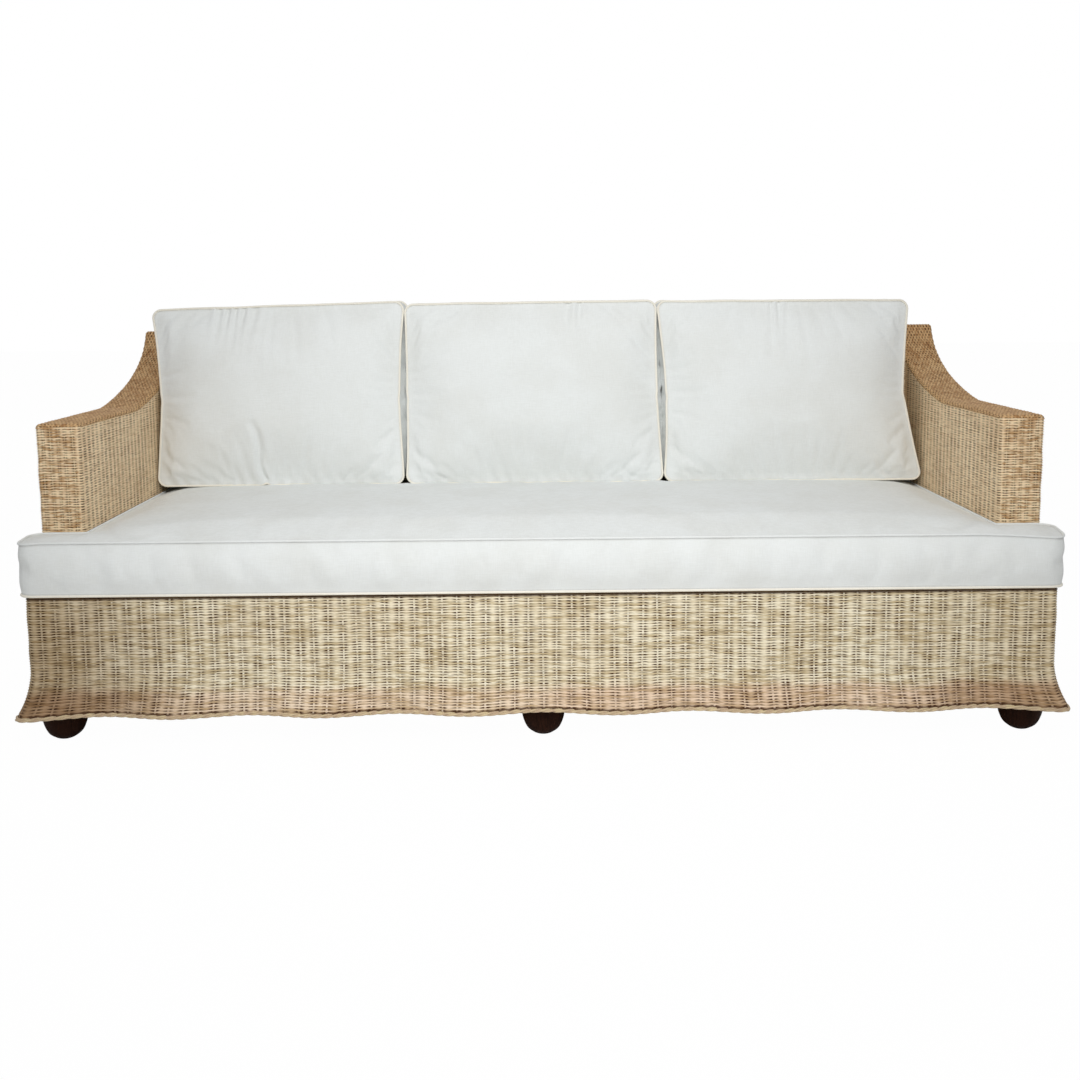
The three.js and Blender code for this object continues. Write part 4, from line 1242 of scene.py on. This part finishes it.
def cushion_mesh(node, name, cell):
    """A CAD cushion remade in even cloth cells."""
    weld = bmesh.new()
    weld.from_mesh(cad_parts[node].data)
    bmesh.ops.remove_doubles(weld, verts=weld.verts, dist=WELD)
    draft = linked(name + "_draft", mesh_of(weld, name + "_draft"))
    remesh = draft.modifiers.new("Cells", "REMESH")
    remesh.mode = "VOXEL"
    remesh.voxel_size = cell
    return smoothed(applied(draft, name), times=2)


def nearest(points, targets):
    """The nearest target to each point, and how far off it is."""
    tree = KDTree(len(targets))
    for index, target in enumerate(targets):
        tree.insert(target, index)
    tree.balance()
    found = [tree.find(point) for point in points]
    return np.array([spot[0] for spot in found]), np.array([spot[2] for spot in found])


def filled(mesh, seams, pressure, ease, cap):
    """Fills a cushion: cloth under pressure, held at its seams; cap(points) limits how
    far each point may move."""
    name = mesh.name
    rest = points_of(mesh)
    grip = ramp(nearest(rest, seams)[1], GRIP_START, GRIP_END)
    draft = linked(name + "_cloth", mesh)
    held = draft.vertex_groups.new(name="seam")
    for index in np.nonzero(grip > 0)[0]:
        held.add([int(index)], float(grip[index]), "REPLACE")
    cloth = draft.modifiers.new("Fill", "CLOTH")
    for setting, value in CLOTH.items():
        setattr(cloth.settings, setting, value)
    cloth.settings.uniform_pressure_force = pressure
    cloth.settings.vertex_group_mass = "seam"
    cloth.settings.shrink_min = -ease
    cloth.settings.effector_weights.gravity = 0
    cloth.collision_settings.use_collision = False
    cloth.point_cache.frame_start, cloth.point_cache.frame_end = 1, FILL_FRAMES
    scene = bpy.context.scene
    for number in range(1, FILL_FRAMES + 1):
        scene.frame_set(number)
    made = applied(draft, name)
    scene.frame_set(1)
    moved = points_of(made) - rest
    size = np.maximum(np.linalg.norm(moved, axis=1), np.finfo(float).tiny)
    set_points(made, rest + moved * np.minimum(cap(rest) / size, 1)[:, None])
    return made


def gripped(points, seams, near, far):
    """Draws the cloth near a seam up to it: fully within near, not at all past far."""
    place, distance = nearest(points, seams)
    return points + (place - points) * (ramp(distance, far, near) ** 2)[:, None]


def smoothed(mesh, times):
    """Relaxes a mesh."""
    shape = bmesh.new()
    shape.from_mesh(mesh)
    for _ in range(times):
        bmesh.ops.smooth_vert(
            shape, verts=shape.verts, factor=0.5, use_axis_x=True, use_axis_y=True, use_axis_z=True)
    shape.to_mesh(mesh)
    shape.free()
    return mesh


def subdivided(mesh):
    """One round of smooth subdivision."""
    draft = linked(mesh.name + "_fine", mesh)
    fine = draft.modifiers.new("Fine", "SUBSURF")
    fine.levels = fine.render_levels = 1
    return applied(draft, mesh.name)


def seam_distance(mesh, seams):
    """Stores how far each point lies from the nearest seam, in millimetres."""
    distance = nearest(points_of(mesh), seams)[1] / MM
    layer = mesh.attributes.new("seam_distance", "FLOAT", "POINT")
    layer.data.foreach_set("value", np.minimum(distance, SEAM_REACH).astype(np.float32))


def cushion_rear(z):
    """The rear of the back cushions at a height."""
    return back_inner(z) - BACK_CUSHION_CLEARANCE


def cushion_depth(z):
    """The depth of the back cushions at a height."""
    rise = (z - BACK_CUSHION_FOOT) / BACK_CUSHION_HEIGHT
    return BACK_CUSHION_DEPTH + (BACK_CUSHION_TOP_DEPTH - BACK_CUSHION_DEPTH) * rise


def depth_share(y, z):
    """How far a place lies from a back cushion's front seam towards its rear seam."""
    return 1 - (cushion_rear(z) - y) / cushion_depth(z)


def bump_at(place, middle, span):
    """A soft bump, 1 in the middle."""
    return np.exp(-((place - middle) / span) ** 2)


def back_cap(middle, half):
    """How far the cloth of a back cushion may swell: most in the middle of its front."""

    def cap(rest):
        x, y, z = rest.T
        inside = ramp(cushion_rear(z) - y, *BACK_SWELL_DEPTHS)
        aside = ramp(np.abs(x - middle), half, half - SWELL_SIDE)
        below = ramp(z, BACK_CUSHION_FOOT, BACK_CUSHION_FOOT + SWELL_END)
        above = ramp(z, BACK_CUSHION_HEAD, BACK_CUSHION_HEAD - SWELL_END)
        anywhere, low, most = BACK_SWELL
        return (anywhere + low * above + most * inside * aside * below * above) * MM

    return cap


def seat_cap(rest):
    """How far the cloth of the seat cushion may swell: most on top and in front."""
    _, y, z = rest.T
    above = ramp(z - SEAT_SEAM_LOW, *SEAT_SWELL_HEIGHTS)
    ahead = ramp(y, EAR_REAR, EAR_REAR - SWELL_SIDE)
    anywhere, most = SEAT_SWELL
    return (anywhere + most * above * np.maximum(ahead, z > SEAT_SEAM_HIGH)) * MM


def bulged(points, name, middle, half):
    """Fills the waist of a back cushion's two upright boxings."""
    x, y, z = points.T
    rise = ramp(z, BACK_CUSHION_FOOT, BACK_CUSHION_HEAD)
    within = np.sin(np.pi * np.clip(depth_share(y, z), 0, 1)) * np.sin(np.pi * rise)
    aside = ramp(half - np.abs(x - middle), *WAIST_SPAN)
    full = np.where(x < middle, *FULLNESS[name])
    x = x + np.sign(x - middle) * aside * within * (CUSHION_WAIST - WAIST_LEFT) * full
    return np.column_stack([x, y, z])


def pucker_depth(x, z, name):
    """Depth of the puckers that hang from a stretch of the top seam."""
    start, end = PUCKERS[name]
    within = ramp(x, start, start + PUCKER_EDGE) * ramp(x, end, end - PUCKER_EDGE)
    down = np.maximum(BACK_CUSHION_HEAD - z, 0)
    fade = PUCKER_GAIN * (1 - np.exp(-down / PUCKER_START)) * np.exp(-down / PUCKER_END)
    sheared = x + PUCKER_SHEAR * (BACK_CUSHION_HEAD - z)
    wave = np.sin(sheared * 2 * np.pi / PUCKER_PITCH + 2.2 * np.sin(40 * x))
    return PUCKER_DEPTH * within * fade * wave


def foot_fold_depth(x, z):
    """Depth of the shallow folds along the foot of a back cushion."""
    fade = np.exp(-np.maximum(z - BACK_CUSHION_FOOT, 0) / FOOT_FOLD_REACH)
    wave = np.sin((x + 0.5 * z) * 2 * np.pi / FOOT_FOLD_PITCH + 2 * np.sin(9 * x))
    return FOOT_FOLD_DEPTH * fade * wave


def crease_depth(x, z, low, high, size):
    """Depth of one bowed crease, deeper and narrower towards its end, with raised sides."""
    low, high = np.array(low), np.array(high)
    span = high - low
    share = np.clip(((x - low[0]) * span[0] + (z - low[1]) * span[1]) / (span @ span), 0, 1)
    bow = CREASE_BOW * np.sin(2 * np.pi * share)
    aside = np.hypot(x - low[0] - share * span[0] - bow, z - low[1] - share * span[1])
    wide = np.interp(share, (0, 1), CREASE_WIDTHS) * MM
    deep = size * MM * np.interp(share, (0, 1), CREASE_DEPTHS)
    raised = CREASE_SIDES * bump_at(aside, 0, CREASE_SIDE_WIDTH * wide)
    return deep * (bump_at(aside, 0, wide) - raised)


def creased(points, name):
    """Puckers under the top seam and creases above the bottom one, on the front."""
    x, y, z = points.T
    depth = pucker_depth(x, z, name) + foot_fold_depth(x, z)
    for crease in CREASES[name]:
        depth += crease_depth(x, z, *crease)
    return np.column_stack([x, y + ramp(depth_share(y, z), 1 / 8, 0) * depth, z])


def settled(points, name, middle, half):
    """The slump, lean and ripples that a cushion and its welts share. The ripples' wave
    numbers are unlike, so that they don't repeat from cushion to cushion."""
    x, y, z = points.T
    along = (x - middle) / half
    across = (along + 1) / 2
    height = ramp(z, BACK_CUSHION_FOOT, BACK_CUSHION_HEAD)
    left, right = TILTS[name]
    rise = (left + (right - left) * across) * MM * height ** 2
    ripple = RIPPLE * np.sin(31 * x + 11 * z) * np.sin(3 + 23 * z + 5 * x)
    sway = RIPPLE_SWAY * ripple
    kink = KINK * bump_at(z, BACK_CUSHION_FOOT + KINK_HEIGHT, KINK_SPAN) * along ** KINK_POWER
    first, last = (np.interp(height, (0, 0.5, 1), edge) * MM for edge in EDGES[name])
    pinch = PINCH * bump_at(x, PINCH_PLACE, PINCH_SPAN) * (1 - height) ** PINCH_POWER
    x = x - LEAN * height ** 2 + sway - kink + first + (last - first) * across
    return np.column_stack([x, y + ripple, z + rise + sway + pinch])


def ears_lowered(points):
    """Lets the front corners of the seat cushion sink, the more the higher, most of all
    the right one."""
    x, y, z = points.T
    reach, drop = np.where(x < 0, *EAR_REACH), np.where(x < 0, *EAR_DROP)
    aside = ramp(np.abs(x), EAR_HALF - reach, EAR_HALF)
    ahead = ramp(y, SEAT_CUSHION_FRONT + EAR_DEPTH, SEAT_CUSHION_FRONT)
    share = ramp(z, SEAT_SEAM_LOW, SEAT_SEAM_HIGH)
    return np.column_stack([x, y, z - drop * aside ** EAR_POWER * ahead * share])


def boxing_bulged(points):
    """Rounds out the front and the two ends of the seat cushion, with faint folds."""
    x, y, z = points.T
    x = x + EAR_STRETCH * np.sign(x) * ramp(np.abs(x), EAR_HALF - STRETCH_REACH, EAR_HALF)
    front = ramp(y - SEAT_CUSHION_FRONT, *BOXING_SPAN)
    end = ramp(EAR_HALF - np.abs(x), *BOXING_SPAN)
    folds = (1 - end) * (1.2 * np.sin(57 * x + 6 * z) + 0.9 * np.sin(23 * x - 9 * z))
    share = ramp(z, SEAT_SEAM_LOW, SEAT_SEAM_HIGH)
    swell = (BOXING_SWELL + folds) * MM * np.sin(np.pi * share) ** BOXING_POWER
    return np.column_stack([x + np.sign(x) * end * swell, y - front * swell, z])


# Stage

def add_camera(stage):
    """The camera at the photograph's viewing angle."""
    lens = bpy.data.cameras.new("camera")
    lens.lens = stage.lens
    lens.sensor_width = 36
    lens.shift_y = CAMERA_SHIFT
    lens.clip_start, lens.clip_end = 0.05, 100
    pitch, yaw, roll = (math.radians(turn) for turn in (CAMERA_PITCH, CAMERA_YAW, CAMERA_ROLL))
    ahead = Vector((
        -math.sin(yaw) * math.cos(pitch), math.cos(yaw) * math.cos(pitch), -math.sin(pitch)))
    right = Vector((math.cos(yaw), math.sin(yaw), 0))
    up = right.cross(ahead)
    turned_right = math.cos(roll) * right + math.sin(roll) * up
    turned_up = -math.sin(roll) * right + math.cos(roll) * up
    turn = Matrix((turned_right, turned_up, -ahead)).transposed().to_4x4()
    camera = linked("camera", lens)
    camera.matrix_world = Matrix.Translation(CAMERA_PLACE) @ turn
    bpy.context.scene.camera = camera


def add_world(stage):
    """Even light all round, white behind the sofa."""
    world = bpy.data.worlds.new("studio")
    world.use_nodes = True
    bpy.context.scene.world = world
    w = Wiring(world.node_tree)
    sky = world.node_tree.nodes["Background"]
    sky.inputs["Color"].default_value = (1, 1, 1, 1)
    ray = w.add("ShaderNodeLightPath").outputs
    reflected = w.math("MAXIMUM", ray["Is Glossy Ray"], ray["Is Transmission Ray"])
    seen = w.math("MAXIMUM", ray["Is Camera Ray"], reflected)
    w.put(sky.inputs["Strength"], w.plus(w.times(seen, 1 - stage.sky), stage.sky))


def floor_material(colour):
    """A pale floor that keeps the shadow and is nearly white to the camera."""
    material = bpy.data.materials.new("floor")
    material.use_nodes = True
    nodes = material.node_tree.nodes
    nodes.remove(nodes["Principled BSDF"])
    w = Wiring(material.node_tree)
    plain = w.add("ShaderNodeBsdfDiffuse")
    w.put(plain.inputs["Color"], tuple(colour))
    white = w.add("ShaderNodeEmission")
    both = w.add("ShaderNodeMixShader")
    seen = w.add("ShaderNodeLightPath").outputs["Is Camera Ray"]
    sources = (w.times(seen, FLOOR_WHITE), plain.outputs[0], white.outputs[0])
    for socket, source in zip(both.inputs, sources):
        w.put(socket, source)
    w.put(nodes["Material Output"].inputs["Surface"], both.outputs[0])
    return material


def add_floor(stage):
    """The plain floor under everything."""
    floor = bmesh.new()
    bmesh.ops.create_grid(floor, x_segments=1, y_segments=1, size=FLOOR_HALF)
    ground = linked("floor", mesh_of(floor, "floor"))
    ground.data.materials.append(floor_material(stage.floor))


def add_lamp(name, light, place, target):
    """A lamp that points at a target."""
    lamp = linked(name, light)
    lamp.location = place
    lamp.rotation_euler = (Vector(target) - lamp.location).to_track_quat("-Z", "Y").to_euler()


# Operators

class SOFA_OT_stage(bpy.types.Operator):
    """Make the camera, the floor and the light"""

    bl_idname = "sofa.stage"
    bl_label = "Stage"

    def execute(self, context):
        stage = context.scene.sofa_stage
        context.scene.view_settings.view_transform = "Standard"
        add_camera(stage)
        add_world(stage)
        add_floor(stage)
        spot = bpy.data.lights.new("key", "SPOT")
        spot.spot_size, spot.spot_blend = math.radians(KEY_ANGLE), 1.0
        spot.shadow_soft_size = KEY_SIZE
        spot.energy = KEY_STRENGTH * stage.key
        add_lamp("key", spot, KEY_PLACE, KEY_TARGET)
        area = bpy.data.lights.new("near", "AREA")
        area.size = NEAR_SIZE
        area.energy = NEAR_STRENGTH * stage.key
        add_lamp("near", area, NEAR_PLACE, NEAR_TARGET)
        return {"FINISHED"}


class SOFA_OT_timber(bpy.types.Operator):
    """Give the frame's timber its grain"""

    bl_idname = "sofa.timber"
    bl_label = "Timber frame"

    def execute(self, context):
        colours = context.scene.sofa_frame
        woods = {
            axis: wood_material(
                "timber_" + axis, colours.timber, colours.timber_grain, axis, TIMBER_DULL)
            for axis in "xyz"}
        dressed = ("foot", "skirt", "hem", "weave", "cushion", "welt")
        for name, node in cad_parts.items():
            if not any(word in name for word in dressed):
                low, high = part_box(name)
                spans = list(high - low)
                for slot in node.material_slots:
                    slot.material = woods["xyz"[spans.index(max(spans))]]
        return {"FINISHED"}


class SOFA_OT_feet(bpy.types.Operator):
    """Turn the six bun feet"""

    bl_idname = "sofa.feet"
    bl_label = "Feet"

    def execute(self, context):
        colours = context.scene.sofa_frame
        stain = wood_material(
            "foot_stain", colours.foot, colours.foot_worn, "z", FOOT_DULL, gloss=0.05)
        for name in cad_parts:
            if name.startswith("foot_"):
                low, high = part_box(name)
                middle = (low + high) / 2
                mesh = foot_mesh("bun_" + name, middle.x, middle.y)
                finish_piece("bun_" + name, mesh, stain, "frame", "foot", name)
        return {"FINISHED"}


class SOFA_OT_skirt(bpy.types.Operator):
    """Weave the four sides of the skirt"""

    bl_idname = "sofa.skirt"
    bl_label = "Skirt"

    def execute(self, context):
        weave = context.scene.sofa_weave
        rattan = skirt_material(weave)
        for turn, side in enumerate(("front", "right", "rear", "left")):
            name = "woven_skirt_" + side
            mesh = skirt_mesh(name, turn, weave)
            finish_piece(name, mesh, rattan, "frame", "skirt_weave", "skirt_" + side)
        return {"FINISHED"}


class SOFA_OT_hem(bpy.types.Operator):
    """Lay the braid round the hem"""

    bl_idname = "sofa.hem"
    bl_label = "Hem braid"

    def execute(self, context):
        weave = context.scene.sofa_weave
        whole = bmesh.new()
        for strand in braid_meshes():
            whole.from_mesh(strand)
        mesh = mesh_of(whole, "hem_strands")
        finish_piece("hem_strands", mesh, braid_material(weave), "frame", "hem_braid", "hem_braid")
        return {"FINISHED"}


class SOFA_OT_arms(bpy.types.Operator):
    """Weave the two arms"""

    bl_idname = "sofa.arms"
    bl_label = "Arms"

    def execute(self, context):
        weave = context.scene.sofa_weave
        wall = weave_material(
            "arm_rattan", weave.upper_reed, weave.upper_shade, weave.upper_stake, weave.gap,
            depth=1.0, twine=1.0)[0]
        top = weave_material(
            "arm_top_rattan", weave.top_reed, weave.top_shade, weave.top_reed, weave.top_gap,
            depth=1.3)[0]
        for name, side in (("left", -1), ("right", 1)):
            mesh = arm_wall_mesh("woven_arm_" + name, side, weave)
            finish_piece("woven_arm_" + name, mesh, wall, "frame", "upper_weave", "arm_weave_" + name)
            mesh = arm_cap_mesh("woven_arm_top_" + name, side, weave)
            finish_piece(
                "woven_arm_top_" + name, mesh, top, "frame", "upper_weave", "arm_weave_" + name)
        return {"FINISHED"}


class SOFA_OT_back(bpy.types.Operator):
    """Weave the back"""

    bl_idname = "sofa.back"
    bl_label = "Back"

    def execute(self, context):
        weave = context.scene.sofa_weave
        wall = weave_material(
            "back_rattan", weave.upper_reed, weave.upper_shade, weave.upper_stake, weave.gap)[0]
        line = back_line()
        front = line.length - (CREST_TOP - CORNER_ROUND - SHELL_BOTTOM)
        for name, start, end in (("rear", 0, front), ("front", front, line.length)):
            mesh = back_mesh("woven_back_" + name, start, end, weave)
            finish_piece("woven_back_" + name, mesh, wall, "frame", "upper_weave", "back_weave")
        for name, side in (("left", -1), ("right", 1)):
            mesh = back_end_mesh("woven_back_end_" + name, side, weave)
            finish_piece("woven_back_end_" + name, mesh, wall, "frame", "upper_weave", "back_weave")
            mesh.set_sharp_from_angle(angle=math.radians(SHARP_DEGREES))
        return {"FINISHED"}


def back_seams(middle, width):
    """The front and the rear seam of an upright back cushion."""
    outline = bowed_outline(width, BACK_CUSHION_HEIGHT, BACK_CUSHION_CORNER, CUSHION_WAIST)
    drawn = outline * (1 - 2 * WELT_INSET / np.array([width, BACK_CUSHION_HEIGHT]))
    x = middle + drawn[:, 0]
    z = BACK_CUSHION_FOOT + drawn[:, 1] + BACK_CUSHION_HEIGHT / 2
    places = {
        "front": cushion_rear(z) - cushion_depth(z) + WELT_INSET,
        "rear": cushion_rear(z) - WELT_INSET}
    return {
        face: even_line(np.column_stack([x, y, z]), BACK_SEAM_STEP) for face, y in places.items()}


class SOFA_OT_back_cushions(bpy.types.Operator):
    """Fill the three back cushions"""

    bl_idname = "sofa.back_cushions"
    bl_label = "Back cushions"

    def execute(self, context):
        cushions = context.scene.sofa_cushions
        fabric = cloth_material("cushion_canvas", cushions.fabric, shade=0.2)
        piping = cloth_material("welt_canvas", cushions.welt)
        cell = (2 * ARM_INNER - BACK_CUSHION_SLACK) / 3
        width = cell - BACK_CUSHION_SPACING - 2 * WELT_PROUD
        for index, name in enumerate(("left", "centre", "right")):
            middle = (index + 1 / 2) * cell - ARM_INNER
            place = (name, middle, width / 2)
            seams = back_seams(middle, width)
            both = np.vstack([even_line(seam, HOLD_STEP) for seam in seams.values()])
            body = "back_cushion_" + name
            mesh = cushion_mesh(body, "cushion_" + name, cushions.back_cell)
            cap = back_cap(middle, width / 2)
            mesh = filled(mesh, both, cushions.pressure, BACK_EASE, cap)
            mesh = subdivided(mesh)
            points = gripped(bulged(points_of(mesh), *place), both, *BACK_GRIP)
            set_points(mesh, creased(points, name))
            seam_distance(mesh, both)
            set_points(mesh, settled(points_of(mesh), *place))
            piece = finish_piece("cushion_" + name, mesh, fabric, body, "cushion_fabric", body)
            for face, seam in seams.items():
                title = "welt_%s_%s" % (face, name)
                mesh = swept(title, settled(seam, *place), cushions.welt_radius, WELT_SIDES)
                finish_piece(title, mesh, piping, body, "welt", "back_welt_%s_%s" % (face, name))
        return {"FINISHED"}


class SOFA_OT_seat_cushion(bpy.types.Operator):
    """Fill the seat cushion"""

    bl_idname = "sofa.seat_cushion"
    bl_label = "Seat cushion"

    def execute(self, context):
        cushions = context.scene.sofa_cushions
        fabric = cloth_material("seat_canvas", cushions.fabric, shade=0.4)
        piping = {
            "top": cloth_material("seat_welt_canvas", cushions.fabric),
            "bottom": cloth_material("seat_foot_welt_canvas", cushions.welt)}
        outline = seat_outline(WELT_INSET)
        seams = {}
        for face, z in (("top", SEAT_SEAM_HIGH - WELT_INSET), ("bottom", SEAT_SEAM_LOW + WELT_INSET)):
            ring = np.column_stack([outline, np.full(len(outline), z)])
            seams[face] = ears_lowered(even_line(ring, SEAT_SEAM_STEP))
        both = np.vstack([even_line(seam, HOLD_STEP) for seam in seams.values()])
        mesh = cushion_mesh("seat_cushion", "cushion_seat", cushions.seat_cell)
        pressure = cushions.pressure * SEAT_PRESSURE_SHARE
        mesh = filled(mesh, both, pressure, SEAT_EASE, seat_cap)
        mesh = subdivided(mesh)
        set_points(mesh, gripped(ears_lowered(boxing_bulged(points_of(mesh))), both, *SEAT_GRIP))
        seam_distance(mesh, both)
        piece = finish_piece(
            "cushion_seat", mesh, fabric, "seat_cushion", "cushion_fabric", "seat_cushion")
        for face, seam in seams.items():
            mesh = swept("welt_seat_" + face, seam, cushions.seat_welt_radius, WELT_SIDES)
            finish_piece(
                "welt_seat_" + face, mesh, piping[face], "seat_cushion", "welt", "seat_welt_" + face)
        return {"FINISHED"}


class SOFA_PT_panel(bpy.types.Panel):
    """The sofa's pieces and settings"""

    bl_idname = "SOFA_PT_panel"
    bl_label = "Rattan garden sofa"
    bl_space_type = "VIEW_3D"
    bl_region_type = "UI"
    bl_category = "Sofa"

    def draw(self, context):
        for group, steps in PARTS:
            box = self.layout.box()
            for name in group.__annotations__:
                box.prop(getattr(context.scene, SETTINGS[group]), name)
            for step in steps:
                box.operator(step.bl_idname)


SETTINGS = {
    SofaStageSettings: "sofa_stage",
    SofaFrameSettings: "sofa_frame",
    SofaWeaveSettings: "sofa_weave",
    SofaCushionSettings: "sofa_cushions",
}
PARTS = (
    (SofaStageSettings, (SOFA_OT_stage,)),
    (SofaFrameSettings, (SOFA_OT_timber, SOFA_OT_feet)),
    (SofaWeaveSettings, (SOFA_OT_skirt, SOFA_OT_hem, SOFA_OT_arms, SOFA_OT_back)),
    (SofaCushionSettings, (SOFA_OT_seat_cushion, SOFA_OT_back_cushions)),
)
CLASSES = [*SETTINGS, *(step for _, steps in PARTS for step in steps), SOFA_PT_panel]


def register():
    """Registers the classes and puts their settings on the scene."""
    for item in CLASSES:
        bpy.utils.register_class(item)
    for group, name in SETTINGS.items():
        setattr(bpy.types.Scene, name, bpy.props.PointerProperty(type=group))


def unregister():
    """Takes the settings and the classes away again."""
    for name in SETTINGS.values():
        delattr(bpy.types.Scene, name)
    for item in reversed(CLASSES):
        bpy.utils.unregister_class(item)


def main():
    """Makes every piece in order."""
    register()
    bpy.ops.sofa.stage()
    bpy.ops.sofa.timber()
    bpy.ops.sofa.feet()
    bpy.ops.sofa.skirt()
    bpy.ops.sofa.hem()
    bpy.ops.sofa.arms()
    bpy.ops.sofa.back()
    bpy.ops.sofa.seat_cushion()
    bpy.ops.sofa.back_cushions()


if __name__ == "__main__":
    main()
